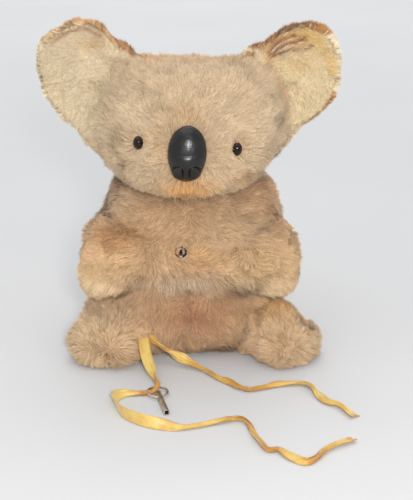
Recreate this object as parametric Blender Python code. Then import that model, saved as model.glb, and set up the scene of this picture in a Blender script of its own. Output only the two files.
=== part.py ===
"""Clockwork koala: a stuffed toy whose wound movement turns its head from side to side.

Metres, +Z up. The toy faces -Y, and the origin is the middle of the flat seat it sits on.
"""
import math

import bmesh
import bpy
from mathutils import Matrix, Vector

# Clearances: between pieces that touch, round turning shafts and round pressed ones
SEAT = 0.0003
RUNNING = 0.0001
PRESSED = 0.00005

# Broken edge of turned metal ends, and how far cutting shapes reach past what they cut
EDGE_BREAK = 0.0002
CUT_MARGIN = 0.010

# Torso
TORSO_HEIGHT = 0.143
TORSO_HALF_WIDTH = 0.080
TORSO_HALF_DEPTH = 0.064
TORSO_SQUARENESS = 2.35
TORSO_SIDES = 24
TORSO_RINGS = 16

# Head
HEAD_GAP = 0.0026
HEAD_HEIGHT = 0.0930
HEAD_HALF_WIDTH = 0.073
HEAD_HALF_DEPTH = 0.062
HEAD_SQUARENESS = 2.2
HEAD_SIDES = 24
HEAD_RINGS = 14
HEAD_TILT = math.radians(3.6)
HEAD_SWING = math.radians(16)

# Face
FACE_X = 0.0012
FACE_RISE = 0.0409
EYE_SPACING = 0.0772
EYE_HALF_WIDTH = 0.0043
EYE_HALF_HEIGHT = 0.0055
EYE_PROUD = 0.0036
EYE_BACK_THICKNESS = 0.0012
NOSE_DROP = 0.0045
NOSE_HALF_WIDTH = 0.0157
NOSE_HEIGHT = 0.0450
NOSE_HALF_DEPTH = 0.0135
NOSE_SUNK = 0.0020
NOSE_SIDES = 16
NOSE_RINGS = 11
NOSTRIL_SPACING = 0.0175
NOSTRIL_RISE = 0.0105
NOSTRIL_HALF_WIDTH = 0.0052
NOSTRIL_HALF_HEIGHT = 0.0078
NOSTRIL_HALF_DEPTH = 0.0065
NOSTRIL_LEAN = math.radians(16)

# Ears
EAR_SPREAD = 0.148
EAR_MIDDLE_X = 0.0010
EAR_LEFT_RISE = 0.0764
EAR_RIGHT_RISE = 0.0734
EAR_Y = 0.004
EAR_SIDES = 24
EAR_BACK_DEPTH = 0.0100
EAR_DISH = 0.0042
EAR_LIP = 0.0030
EAR_ROLL = 0.0012
EAR_LINING_THICKNESS = 0.0018
EAR_BORDER = 0.0050

# Arms
ARM_ROOT = (0.034, -0.018, 0.093)
ARM_ELBOW = (0.057, -0.035, 0.085)
ARM_PAW = (0.0765, -0.038, 0.0800)
ARM_END_X = 0.0900
ARM_ROOT_HALF_HEIGHT = 0.039
ARM_PAW_HALF_HEIGHT = 0.0300
ARM_ROOT_HALF_DEPTH = 0.030
ARM_PAW_HALF_DEPTH = 0.0240
ARM_MIDDLE_X = 0.0010
LIMB_SIDES = 18

# Legs
LEG_LEFT_HIP = (-0.0460, -0.0120, 0.0200)
LEG_LEFT_FOOT = (-0.0715, -0.0585, 0.0140)
LEG_RIGHT_HIP = (0.0480, -0.0120, 0.0200)
LEG_RIGHT_FOOT = (0.0855, -0.0535, 0.0140)
LEG_HALF_WIDTH = 0.0295
LEG_HIP_HALF_HEIGHT = 0.0285
LEG_FOOT_HALF_HEIGHT = 0.0230
LEG_END_LENGTH = 0.020

# Neck
NECK_X = 0.0020
NECK_Y = 0.0040
SHAFT_RADIUS = 0.0020
SHAFT_FOOT_GAP = 0.0043
BOARD_RADIUS = 0.0240
BOARD_THICKNESS = 0.0030
BUSH_RADIUS = 0.0040
BUSH_FLANGE_RADIUS = 0.0075
BUSH_FLANGE_THICKNESS = 0.0012
HEAD_DISC_RADIUS = 0.0260
HEAD_DISC_THICKNESS = 0.0030
HEAD_NUT_RADIUS = 0.0045
HEAD_NUT_THICKNESS = 0.0032
HEAD_NUT_SIDES = 12
SHAFT_PAST_NUT = 0.0016
SHAFT_TAPER = 0.0008
COLLAR_RADIUS = 0.0045
COLLAR_THICKNESS = 0.0040
NECK_HOLE_RADIUS = 0.0068

# Movement frame
ARBOR_X = -0.0046
ARBOR_Z = 0.0986
MOVEMENT_FRONT = -0.0420
PLATE_THICKNESS = 0.0010
PLATE_GAP = 0.0230
PLATE_WIDTH = 0.0510
PLATE_HEIGHT = 0.0520
PLATE_ASIDE = 0.0061
PLATE_DROP = 0.0076
PLATE_CORNER = 0.0040
PILLAR_INSET = 0.0035
PILLAR_RADIUS = 0.0018
PILLAR_END_RADIUS = 0.0010
NUT_ACROSS_CORNERS = 0.0044
NUT_THICKNESS = 0.0014

# Case
CASE_WALL = 0.0008
CASE_CLEARANCE = 0.0008
CASE_BACK = 0.0120
GUIDE_RADIUS = 0.0032
GUIDE_FLANGE_RADIUS = 0.0050
GUIDE_FLANGE_THICKNESS = 0.0010

# Mainspring, arbor and click work
ARBOR_RADIUS = 0.0022
ARBOR_PIVOT_RADIUS = 0.0013
ARBOR_SHOULDER_RADIUS = 0.0030
ARBOR_SQUARE = 0.0026
ARBOR_SQUARE_TAPER = 0.0006
ARBOR_NECK = 0.0100
STEM_PROUD = 0.0080
SPRING_WIDTH = 0.0088
SPRING_THICKNESS = 0.0007
SPRING_TURNS = 5
SPRING_STEPS = 12
SPRING_OUTER_RADIUS = 0.0150
SPRING_LEAD = math.radians(35)
RATCHET_TEETH = 14
RATCHET_RADIUS = 0.0068
RATCHET_TOOTH_HEIGHT = 0.0013
RATCHET_THICKNESS = 0.0010
CLICK_PIVOT_RADIUS = 0.0108
CLICK_PIVOT_ANGLE = math.radians(115)
CLICK_BOSS_RADIUS = 0.0021
CLICK_TIP_ANGLE = math.radians(52)
CLICK_RIVET_RADIUS = 0.0008
CLICK_RIVET_HEAD_RADIUS = 0.0014
CLICK_RIVET_HEAD = 0.0002
CLICK_HEEL = 0.0016
CLICK_ARCH_SHARE = 0.55
CLICK_ARCH_INSIDE = 0.0006
CLICK_ARCH_OUTSIDE = 0.0004
STACK_GAP = 0.0004

# Train
GREAT_TEETH = 48
SECOND_PINION_TEETH = 12
GREAT_MODULE = 0.0007
SECOND_TEETH = 36
THIRD_PINION_TEETH = 9
SECOND_MODULE = 0.0006
THIRD_TEETH = 30
FLY_PINION_TEETH = 10
THIRD_MODULE = 0.0005
WHEEL_THICKNESS = 0.0011
PINION_OVERHANG = 0.0008
TRAIN_SHAFT_RADIUS = 0.0011
TRAIN_PIVOT_RADIUS = 0.0007
THIRD_ARBOR_ANGLE = math.radians(25)
FLY_ARBOR_ANGLE = math.radians(60)
FLY_RADIUS = 0.0056
FLY_LENGTH = 0.0050
FLY_THICKNESS = 0.0003
FLY_HUB_RADIUS = 0.0018

# Crank and fork
CRANK_RADIUS = 0.0034
CRANK_DISC_RADIUS = 0.0056
CRANK_DISC_THICKNESS = 0.0010
CRANK_PIN_RADIUS = 0.0010
CRANK_PIN_GAP = 0.0009
FORK_REACH = 0.0126
FORK_HUB_RADIUS = 0.0042
FORK_HUB_HEIGHT = 0.0050
FORK_THICKNESS = 0.0012
FORK_SLOT_CLEARANCE = 0.0003
FORK_PRONG_WIDTH = 0.0015
FORK_ABOVE_PIN = 0.0030
FORK_BELOW_PIN = 0.0015
FORK_ARM_INSET = 0.0008
FORK_SLOT_CLOSED = 0.0012

# Winding ferrule
FERRULE_RADIUS = 0.0042
FERRULE_BORE = 0.0034
FERRULE_RIM_RADIUS = 0.0050
FERRULE_RIM_THICKNESS = 0.0009
FERRULE_SUNK = 0.0020
FERRULE_SIDES = 16

# Key
KEY_HEAD_END = (-0.0227, -0.1220)
KEY_HEADING = math.radians(-76.3)
KEY_LENGTH = 0.0345
KEY_TUBE_RADIUS = 0.0025
KEY_DOME_RADIUS = 0.0014
KEY_DOME = 0.0013
KEY_SOCKET_DEPTH = 0.0160
KEY_SOCKET_CLEARANCE = 0.00025
KEY_RING_RADIUS = 0.0080
KEY_WIRE_RADIUS = 0.00095
KEY_HOLE_INSET = 0.0086
KEY_RING_LIFT = math.radians(3.3)
KEY_RING_STEPS = 20
KEY_WIRE_SIDES = 8

# Ribbon
RIBBON_TACK_X = -0.0325
RIBBON_TACK_Z = 0.0240
RIBBON_TACK_WIDTH = 0.0085
RIBBON_TACK_HEIGHT = 0.0045
RIBBON_TACK_PROUD = 0.0020
RIBBON_TACK_ROOT = 0.0060
RIBBON_TUBE_RADIUS = 0.0010
RIBBON_POINT_SPACING = 0.0060

# Shape rows of the soft forms: height, width and depth, and the shift sideways and forwards,
# each as a share of the form's own height, half width or half depth
TORSO_SHAPE = (
    (0.000, 0.72, 0.68, 0.00, 0.00),
    (0.035, 0.86, 0.82, 0.00, 0.00),
    (0.140, 0.96, 0.93, 0.00, 0.01),
    (0.290, 0.99, 0.91, 0.00, 0.00),
    (0.400, 0.96, 0.82, 0.01, 0.01),
    (0.500, 0.98, 0.97, 0.02, 0.06),
    (0.580, 0.99, 1.00, 0.02, 0.07),
    (0.700, 0.97, 0.98, 0.04, 0.05),
    (0.820, 0.92, 0.89, 0.05, 0.02),
    (0.910, 0.87, 0.79, 0.05, -0.02),
    (0.970, 0.80, 0.68, 0.03, -0.08),
    (1.000, 0.63, 0.52, 0.03, -0.10),
)
HEAD_SHAPE = (
    (0.000, 0.58, 0.64, 0.02, 0.22),
    (0.045, 0.74, 0.80, 0.02, 0.19),
    (0.125, 0.87, 0.92, 0.01, 0.16),
    (0.250, 0.96, 0.99, 0.01, 0.13),
    (0.400, 1.00, 1.00, 0.02, 0.11),
    (0.560, 1.01, 0.98, 0.03, 0.08),
    (0.720, 0.96, 0.90, 0.04, 0.04),
    (0.860, 0.86, 0.78, 0.05, 0.00),
    (0.945, 0.71, 0.62, 0.06, -0.02),
    (0.985, 0.52, 0.43, 0.06, -0.03),
    (1.000, 0.34, 0.27, 0.06, -0.03),
)
NOSE_SHAPE = (
    (0.000, 0.14, 0.20, 0.0, 0.00),
    (0.050, 0.42, 0.52, 0.0, 0.00),
    (0.180, 0.78, 0.80, 0.0, 0.02),
    (0.380, 0.97, 0.96, 0.0, 0.04),
    (0.560, 1.00, 1.00, 0.0, 0.02),
    (0.760, 0.88, 0.88, 0.0, 0.00),
    (0.920, 0.58, 0.58, 0.0, 0.00),
    (1.000, 0.16, 0.18, 0.0, 0.00),
)

# Rows of the ears, in shares of the outline and of the depth: the dish from its middle
# outwards, and the back from the rim inwards
EAR_FLOOR = ((0.10, 1.00), (0.50, 0.92), (0.80, 0.68))
EAR_BACK = ((0.985, 0.45), (0.86, 0.85), (0.55, 1.00), (0.10, 1.06))

# Turns of the quarter circles that round the ends of the arms and of the legs
ARM_END_TURNS = (35, 62, 80)
LEG_END_TURNS = (28, 50, 68, 82)

# Outlines of the ears seen from the front, from each ear's middle, outwards and up
EAR_LEFT_OUTLINE = (
    (-0.022, 0.000), (-0.024, 0.020), (-0.008, 0.040), (0.008, 0.050), (0.025, 0.046),
    (0.042, 0.037), (0.050, 0.018), (0.046, -0.005), (0.037, -0.023), (0.022, -0.037),
    (0.002, -0.053), (-0.012, -0.034),
)
EAR_RIGHT_OUTLINE = (
    (-0.022, 0.000), (-0.022, 0.022), (-0.006, 0.038), (0.012, 0.049), (0.030, 0.048),
    (0.045, 0.040), (0.050, 0.020), (0.047, -0.004), (0.037, -0.021), (0.019, -0.035),
    (0.001, -0.048), (-0.012, -0.034),
)

# Routes of the ribbon's two strands, chosen by eye from the belly to their free ends
KEY_STRAND_ROUTE = (
    (-0.0358, -0.0605, 0.0240), (-0.0361, -0.0650, 0.0224), (-0.0350, -0.0730, 0.0180),
    (-0.0326, -0.0820, 0.0130), (-0.0292, -0.0920, 0.0094), (-0.0254, -0.1030, 0.0070),
    (-0.0232, -0.1110, 0.0063), (-0.0226, -0.1156, 0.0060), (-0.0240, -0.1188, 0.0034),
    (-0.0272, -0.1212, 0.0012), (-0.0318, -0.1226, 0.0010), (-0.0385, -0.1222, 0.0010),
    (-0.0490, -0.1228, 0.0010), (-0.0550, -0.1300, 0.0010), (-0.0555, -0.1430, 0.0010),
    (-0.0475, -0.1600, 0.0010), (-0.0325, -0.1720, 0.0010), (-0.0145, -0.1765, 0.0010),
    (0.0040, -0.1750, 0.0010), (0.0223, -0.1685, 0.0010), (0.0390, -0.1645, 0.0010),
    (0.0470, -0.1730, 0.0010), (0.0535, -0.1960, 0.0010), (0.0600, -0.2110, 0.0010),
    (0.0680, -0.2108, 0.0010), (0.0770, -0.2205, 0.0010), (0.0865, -0.2285, 0.0010),
    (0.0945, -0.2235, 0.0010), (0.1025, -0.2100, 0.0010), (0.1138, -0.2010, 0.0010),
    (0.1241, -0.1935, 0.0010),
)
PLAIN_STRAND_ROUTE = (
    (-0.0306, -0.0605, 0.0240), (-0.0300, -0.0633, 0.0230), (-0.0262, -0.0660, 0.0200),
    (-0.0190, -0.0690, 0.0155), (-0.0090, -0.0715, 0.0105), (0.0020, -0.0750, 0.0060),
    (0.0115, -0.0800, 0.0022), (0.0187, -0.0870, 0.0010), (0.0262, -0.0955, 0.0010),
    (0.0348, -0.1040, 0.0010), (0.0425, -0.1130, 0.0010), (0.0500, -0.1165, 0.0010),
    (0.0602, -0.1125, 0.0010), (0.0749, -0.1060, 0.0010), (0.0900, -0.1050, 0.0010),
    (0.1001, -0.1130, 0.0010), (0.1086, -0.1340, 0.0010), (0.1195, -0.1430, 0.0010),
    (0.1294, -0.1595, 0.0010),
)

# Finishes: colour, roughness, metallic
FINISHES = {
    "fur_tan": ((0.72, 0.52, 0.29), 0.95, 0.0),
    "fur_ochre": ((0.68, 0.46, 0.22), 0.95, 0.0),
    "ear_plush": ((0.80, 0.68, 0.45), 0.90, 0.0),
    "black_plastic": ((0.012, 0.012, 0.014), 0.35, 0.0),
    "eye_glass": ((0.02, 0.008, 0.005), 0.08, 0.0),
    "satin_ribbon": ((0.80, 0.55, 0.10), 0.45, 0.0),
    "nickel": ((0.40, 0.37, 0.34), 0.35, 1.0),
    "steel": ((0.36, 0.36, 0.37), 0.38, 1.0),
    "spring_steel": ((0.16, 0.20, 0.28), 0.30, 1.0),
    "brass": ((0.72, 0.50, 0.18), 0.32, 1.0),
    "tinplate": ((0.55, 0.55, 0.55), 0.42, 1.0),
    "fibreboard": ((0.34, 0.20, 0.10), 0.80, 0.0),
}


def clear_scene():
    for obj in list(bpy.data.objects):
        bpy.data.objects.remove(obj)


def material(name):
    found = bpy.data.materials.get(name)
    if found:
        return found
    made = bpy.data.materials.new(name)
    made.use_nodes = True
    colour, roughness, metallic = FINISHES[name]
    shader = made.node_tree.nodes["Principled BSDF"]
    shader.inputs["Base Color"].default_value = (*colour, 1.0)
    shader.inputs["Roughness"].default_value = roughness
    shader.inputs["Metallic"].default_value = metallic
    made.diffuse_color = (*colour, 1.0)
    return made


def keep(name, bm, finish, origin=(0.0, 0.0, 0.0), sharp=35):
    """Turns a bmesh in world places into a named object with its origin at the given point."""
    bmesh.ops.recalc_face_normals(bm, faces=bm.faces)
    bmesh.ops.translate(bm, vec=-Vector(origin), verts=bm.verts)
    mesh = bpy.data.meshes.new(name)
    bm.to_mesh(mesh)
    bm.free()
    mesh.shade_smooth()
    mesh.set_sharp_from_angle(angle=math.radians(sharp))
    obj = bpy.data.objects.new(name, mesh)
    obj.location = origin
    obj.data.materials.append(material(finish))
    bpy.context.collection.objects.link(obj)
    return obj


def cutter(name, bm):
    """A shape that is only taken away from others or joined to them."""
    obj = keep(name, bm, "tinplate")
    obj.hide_render = True
    obj.display_type = "WIRE"
    return obj


def cut(obj, tool, operation="DIFFERENCE"):
    modifier = obj.modifiers.new(tool.name, "BOOLEAN")
    modifier.operation = operation
    modifier.solver = "EXACT"
    modifier.object = tool


def join(obj, tool):
    cut(obj, tool, "UNION")


def spline(points, share, closed=False):
    """A point at a share of the way along the smooth curve through the given points."""
    count = len(points)
    spans = count if closed else count - 1
    place = min(max(share, 0.0), 1.0) * spans
    index = min(int(place), spans - 1)
    t = place - index

    def at(i):
        if closed:
            return points[i % count]
        return points[min(max(i, 0), count - 1)]

    p0, p1, p2, p3 = at(index - 1), at(index), at(index + 1), at(index + 2)
    return tuple(
        b + 0.5 * t * (c - a + t * (2 * a - 5 * b + 4 * c - d + t * (3 * b - a - 3 * c + d)))
        for a, b, c, d in zip(p0, p1, p2, p3)
    )


def shape_at(shape, height_share):
    """The shape row at a height share, read from the smooth curve through the rows."""
    low, high = 0.0, 1.0
    for _ in range(40):
        middle = (low + high) / 2
        if spline(shape, middle)[0] < height_share:
            low = middle
        else:
            high = middle
    return spline(shape, middle)


def loft(bm, rings):
    """Joins rings of equal counts into one closed skin with flat ends."""
    rows = [[bm.verts.new(p) for p in ring] for ring in rings]
    count = len(rows[0])
    for lower, upper in zip(rows, rows[1:]):
        for i in range(count):
            j = (i + 1) % count
            bm.faces.new((lower[i], lower[j], upper[j], upper[i]))
    bm.faces.new(list(reversed(rows[0])))
    bm.faces.new(rows[-1])


def oval(centre, across, along, power, sides):
    """Points of a superellipse; across and along are its two half-axis vectors."""
    ring = []
    for i in range(sides):
        angle = 2 * math.pi * i / sides
        c, s = math.cos(angle), math.sin(angle)
        u = math.copysign(abs(c) ** (2 / power), c)
        v = math.copysign(abs(s) ** (2 / power), s)
        ring.append(Vector(centre) + Vector(across) * u + Vector(along) * v)
    return ring


class SoftForm:
    """A stuffed form given by its height, half width, half depth and shape rows."""

    def __init__(self, base, height, half_width, half_depth, shape, power, x=0.0, y=0.0):
        self.base, self.height = base, height
        self.half_width, self.half_depth = half_width, half_depth
        self.shape, self.power = shape, power
        self.x, self.y = x, y

    def row(self, height_share):
        """Middle x, middle y, half width and half depth at a height share."""
        _, width, depth, side, forward = shape_at(self.shape, height_share)
        return (
            self.x + side * self.half_width,
            self.y - forward * self.half_depth,
            width * self.half_width,
            depth * self.half_depth,
        )

    def front(self, x, z):
        """The y of the form's front surface at a place seen from the front."""
        cx, cy, a, b = self.row((z - self.base) / self.height)
        inside = max(0.0, 1 - abs((x - cx) / a) ** self.power)
        return cy - b * inside ** (1 / self.power)

    def mesh(self, sides, rings, grow=0.0):
        bm = bmesh.new()
        loops = []
        for i in range(rings):
            share = 0.5 - 0.5 * math.cos(math.pi * i / (rings - 1))
            cx, cy, a, b = self.row(share)
            z = self.base - grow + share * (self.height + 2 * grow)
            across, along = (a + grow, 0, 0), (0, b + grow, 0)
            loops.append(oval((cx, cy, z), across, along, self.power, sides))
        loft(bm, loops)
        return bm


def ellipsoid(centre, half_sizes, sides=12, rings=7, turn=None):
    """A closed egg of rings; turn is a matrix applied about its centre."""
    bm = bmesh.new()
    loops = []
    for i in range(rings):
        angle = math.pi * (i + 0.35) / (rings - 0.3)
        r, z = math.sin(angle), -math.cos(angle)
        middle = (0, 0, z * half_sizes[2])
        across, along = (r * half_sizes[0], 0, 0), (0, r * half_sizes[1], 0)
        loops.append(oval(middle, across, along, 2.0, sides))
    loft(bm, loops)
    if turn:
        bmesh.ops.transform(bm, matrix=turn, verts=bm.verts)
    bmesh.ops.translate(bm, vec=centre, verts=bm.verts)
    return bm


def block(low, high):
    bm = bmesh.new()
    corners = [((low[0], high[0])[i], (low[1], high[1])[j]) for i, j in ((0, 0), (1, 0), (1, 1), (0, 1))]
    loft(bm, [[Vector((x, y, z)) for x, y in corners] for z in (low[2], high[2])])
    return bm


def turned(profile, start, direction, sides, hollow=False, phase=0.0):
    """Revolves (radius, distance) rows about an axis; a hollow profile closes on itself."""
    bm = bmesh.new()
    axis = Vector(direction).normalized()
    across = axis.orthogonal().normalized()
    along = axis.cross(across)
    rows = []
    for radius, distance in profile:
        centre = Vector(start) + axis * distance
        row = []
        for i in range(sides):
            angle = 2 * math.pi * i / sides + phase
            spoke = across * math.cos(angle) + along * math.sin(angle)
            row.append(bm.verts.new(centre + spoke * radius))
        rows.append(row)
    pairs = list(zip(rows, rows[1:]))
    if hollow:
        pairs.append((rows[-1], rows[0]))
    for lower, upper in pairs:
        for i in range(sides):
            j = (i + 1) % sides
            bm.faces.new((lower[i], lower[j], upper[j], upper[i]))
    if not hollow:
        bm.faces.new(list(reversed(rows[0])))
        bm.faces.new(rows[-1])
    return bm


def washer(inner, outer, bottom, top):
    """Hollow profile of a plain ring."""
    return (inner, bottom), (outer, bottom), (outer, top), (inner, top)


def bore(radius, clearance, sides):
    """Corner radius of a many-sided hole whose flats clear a shaft of the given radius."""
    return (radius + clearance) / math.cos(math.pi / sides)


def circle(x, z, radius, sides, phase=0.0):
    steps = [2 * math.pi * i / sides + phase for i in range(sides)]
    return [(x + radius * math.cos(a), z + radius * math.sin(a)) for a in steps]


def slab(loops, front, thickness):
    """A flat piece in the XZ plane: an outline with holes, from the front face backwards."""
    bm = bmesh.new()
    for loop in loops:
        verts = [bm.verts.new((x, front, z)) for x, z in loop]
        for i, vert in enumerate(verts):
            bm.edges.new((vert, verts[(i + 1) % len(verts)]))
    bmesh.ops.triangle_fill(bm, use_beauty=True, use_dissolve=True, edges=bm.edges[:])
    made = bmesh.ops.extrude_face_region(bm, geom=bm.faces[:])
    moved = [v for v in made["geom"] if isinstance(v, bmesh.types.BMVert)]
    bmesh.ops.translate(bm, vec=(0, thickness, 0), verts=moved)
    return bm


def gear_outline(x, z, teeth, module, phase):
    """Straight-flanked teeth on the pitch circle; phase is the angle of one tooth's middle."""
    pitch = teeth * module / 2
    rows = (
        (pitch - 1.20 * module, -0.36),
        (pitch + 0.88 * module, -0.13),
        (pitch + 0.88 * module, 0.13),
        (pitch - 1.20 * module, 0.36),
    )
    points = []
    for tooth in range(teeth):
        for radius, offset in rows:
            angle = phase + 2 * math.pi * (tooth + offset) / teeth
            points.append((x + radius * math.cos(angle), z + radius * math.sin(angle)))
    return points


def windows(x, z, inner, outer, spokes, sides=2, spoke=0.16):
    """Openings between the spokes of a wheel; spoke is a spoke's share of the space it stands in."""
    loops = []
    for i in range(spokes):
        start = 2 * math.pi * (i + spoke / 2) / spokes
        end = 2 * math.pi * (i + 1 - spoke / 2) / spokes
        steps = [start + (end - start) * k / sides for k in range(sides + 1)]
        rim = [(x + outer * math.cos(a), z + outer * math.sin(a)) for a in steps]
        hub = [(x + inner * math.cos(a), z + inner * math.sin(a)) for a in (end, start)]
        loops.append(rim + hub)
    return loops


# Heights of what stands on the torso and on the head's base
HEAD_BASE = TORSO_HEIGHT + HEAD_GAP
FACE_Z = HEAD_BASE + FACE_RISE
EAR_LEFT_Z = HEAD_BASE + EAR_LEFT_RISE
EAR_RIGHT_Z = HEAD_BASE + EAR_RIGHT_RISE

torso_form = SoftForm(
    0.0, TORSO_HEIGHT, TORSO_HALF_WIDTH, TORSO_HALF_DEPTH, TORSO_SHAPE, TORSO_SQUARENESS
)
head_form = SoftForm(
    HEAD_BASE, HEAD_HEIGHT, HEAD_HALF_WIDTH, HEAD_HALF_DEPTH, HEAD_SHAPE, HEAD_SQUARENESS
)

# Places along Y of what turns in the movement, front to back
PLATES_FRONT_INSIDE = MOVEMENT_FRONT + PLATE_THICKNESS
PLATES_BACK_INSIDE = PLATES_FRONT_INSIDE + PLATE_GAP
MOVEMENT_BACK = PLATES_BACK_INSIDE + PLATE_THICKNESS
SPRING_FRONT = PLATES_FRONT_INSIDE + STACK_GAP
RATCHET_FRONT = SPRING_FRONT + SPRING_WIDTH + STACK_GAP
GREAT_FRONT = RATCHET_FRONT + RATCHET_THICKNESS + STACK_GAP
SECOND_PINION_FRONT = GREAT_FRONT - PINION_OVERHANG
PINION_LENGTH = WHEEL_THICKNESS + 2 * PINION_OVERHANG
SECOND_WHEEL_FRONT = SECOND_PINION_FRONT + PINION_LENGTH + STACK_GAP
THIRD_PINION_FRONT = SECOND_WHEEL_FRONT - PINION_OVERHANG
THIRD_WHEEL_FRONT = THIRD_PINION_FRONT + PINION_LENGTH + STACK_GAP
FLY_PINION_FRONT = THIRD_WHEEL_FRONT - PINION_OVERHANG
CRANK_DISC_FRONT = MOVEMENT_BACK + STACK_GAP

# Places of the arbors
SECOND_DISTANCE = (GREAT_TEETH + SECOND_PINION_TEETH) * GREAT_MODULE / 2
SECOND_X = NECK_X
SECOND_Z = ARBOR_Z - math.sqrt(SECOND_DISTANCE**2 - (SECOND_X - ARBOR_X) ** 2)
THIRD_DISTANCE = (SECOND_TEETH + THIRD_PINION_TEETH) * SECOND_MODULE / 2
THIRD_X = SECOND_X + THIRD_DISTANCE * math.cos(THIRD_ARBOR_ANGLE)
THIRD_Z = SECOND_Z + THIRD_DISTANCE * math.sin(THIRD_ARBOR_ANGLE)
FLY_DISTANCE = (THIRD_TEETH + FLY_PINION_TEETH) * THIRD_MODULE / 2
FLY_X = THIRD_X + FLY_DISTANCE * math.cos(FLY_ARBOR_ANGLE)
FLY_Z = THIRD_Z + FLY_DISTANCE * math.sin(FLY_ARBOR_ANGLE)

# The box that holds the movement
PLATE_MIDDLE_X = ARBOR_X + PLATE_ASIDE
PLATE_MIDDLE_Z = ARBOR_Z - PLATE_DROP
CASE_LEFT = PLATE_MIDDLE_X - PLATE_WIDTH / 2 - CASE_CLEARANCE - CASE_WALL
CASE_RIGHT = PLATE_MIDDLE_X + PLATE_WIDTH / 2 + CASE_CLEARANCE + CASE_WALL
CASE_BOTTOM = PLATE_MIDDLE_Z - PLATE_HEIGHT / 2 - SEAT - CASE_WALL
CASE_TOP = PLATE_MIDDLE_Z + PLATE_HEIGHT / 2 + CASE_CLEARANCE + CASE_WALL
CASE_FRONT = MOVEMENT_FRONT - SEAT - CASE_WALL
SHAFT_BOTTOM = CASE_BOTTOM + CASE_WALL + SHAFT_FOOT_GAP

# The winding mouth in the belly
BELLY_FRONT = torso_form.front(ARBOR_X, ARBOR_Z)
FERRULE_FRONT = BELLY_FRONT + FERRULE_SUNK
STEM_FRONT = FERRULE_FRONT - STEM_PROUD

# Heights of what stacks up at the neck
BOARD_TOP = TORSO_HEIGHT
BOARD_BOTTOM = BOARD_TOP - BOARD_THICKNESS
FLANGE_TOP = BOARD_TOP + SEAT + BUSH_FLANGE_THICKNESS
DISC_BOTTOM = FLANGE_TOP + SEAT
DISC_TOP = DISC_BOTTOM + HEAD_DISC_THICKNESS
NUT_BOTTOM = DISC_TOP + SEAT
NUT_TOP = NUT_BOTTOM + HEAD_NUT_THICKNESS
SHAFT_TOP = NUT_TOP + SHAFT_PAST_NUT
COLLAR_TOP = BOARD_BOTTOM - SEAT


def neck_piece(name, finish, profile, sides, hollow=True):
    bm = turned(profile, (NECK_X, NECK_Y, 0.0), (0, 0, 1), sides, hollow)
    return keep(name, bm, finish, origin=(NECK_X, NECK_Y, profile[0][1]))


def make_torso():
    torso = keep("torso", torso_form.mesh(TORSO_SIDES, TORSO_RINGS), "fur_tan", sharp=60)
    low = (CASE_LEFT - SEAT, CASE_FRONT - SEAT, CASE_BOTTOM - SEAT)
    high = (CASE_RIGHT + SEAT, CASE_BACK + CASE_WALL + 2 * SEAT, CASE_TOP + SEAT)
    cut(torso, cutter("movement_hollow", block(low, high)))
    hole_bottom = CASE_TOP - CASE_WALL
    board_seat = BOARD_BOTTOM - SEAT
    board_hole = bore(BOARD_RADIUS, SEAT, 20)
    profile = (
        (NECK_HOLE_RADIUS, hole_bottom),
        (NECK_HOLE_RADIUS, board_seat),
        (board_hole, board_seat),
        (board_hole, BOARD_TOP + 2 * SEAT),
    )
    cut(torso, cutter("neck_hollow", turned(profile, (NECK_X, NECK_Y, 0), (0, 0, 1), 20)))
    rim_hole = bore(FERRULE_RIM_RADIUS, SEAT, FERRULE_SIDES)
    tube_hole = bore(FERRULE_RADIUS, SEAT, FERRULE_SIDES)
    rim_seat = FERRULE_FRONT + FERRULE_RIM_THICKNESS + SEAT
    profile = (
        (rim_hole, FERRULE_FRONT - CUT_MARGIN),
        (rim_hole, rim_seat),
        (tube_hole, rim_seat),
        (tube_hole, CASE_FRONT),
    )
    mouth = turned(profile, (ARBOR_X, 0, ARBOR_Z), (0, 1, 0), FERRULE_SIDES)
    cut(torso, cutter("winding_hollow", mouth))


def make_head():
    skin = head_form.mesh(HEAD_SIDES, HEAD_RINGS)
    head = keep("head", skin, "fur_tan", (NECK_X, NECK_Y, HEAD_BASE), sharp=60)
    disc_hole = bore(HEAD_DISC_RADIUS, SEAT, 20)
    nut_hole = bore(HEAD_NUT_RADIUS, SEAT, 20)
    profile = (
        (disc_hole, HEAD_BASE - 2 * SEAT),
        (disc_hole, DISC_TOP + SEAT),
        (nut_hole, DISC_TOP + SEAT),
        (nut_hole, SHAFT_TOP + SEAT),
    )
    cut(head, cutter("head_hollow", turned(profile, (NECK_X, NECK_Y, 0), (0, 0, 1), 20)))


def on_face(across, up):
    """A place on the tilted face, given from the middle between the eyes."""
    x = FACE_X + across * math.cos(HEAD_TILT) + up * math.sin(HEAD_TILT)
    z = FACE_Z - across * math.sin(HEAD_TILT) + up * math.cos(HEAD_TILT)
    return Vector((x, head_form.front(x, z), z))


def make_eye(name, side, skin):
    place = on_face(side * EYE_SPACING / 2, 0.0)
    half_sizes = (EYE_HALF_WIDTH, EYE_PROUD + EYE_BACK_THICKNESS, EYE_HALF_HEIGHT)
    eye = keep(name, ellipsoid(place, half_sizes, 14, 9), "eye_glass", sharp=50)
    cut(eye, skin)


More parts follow.
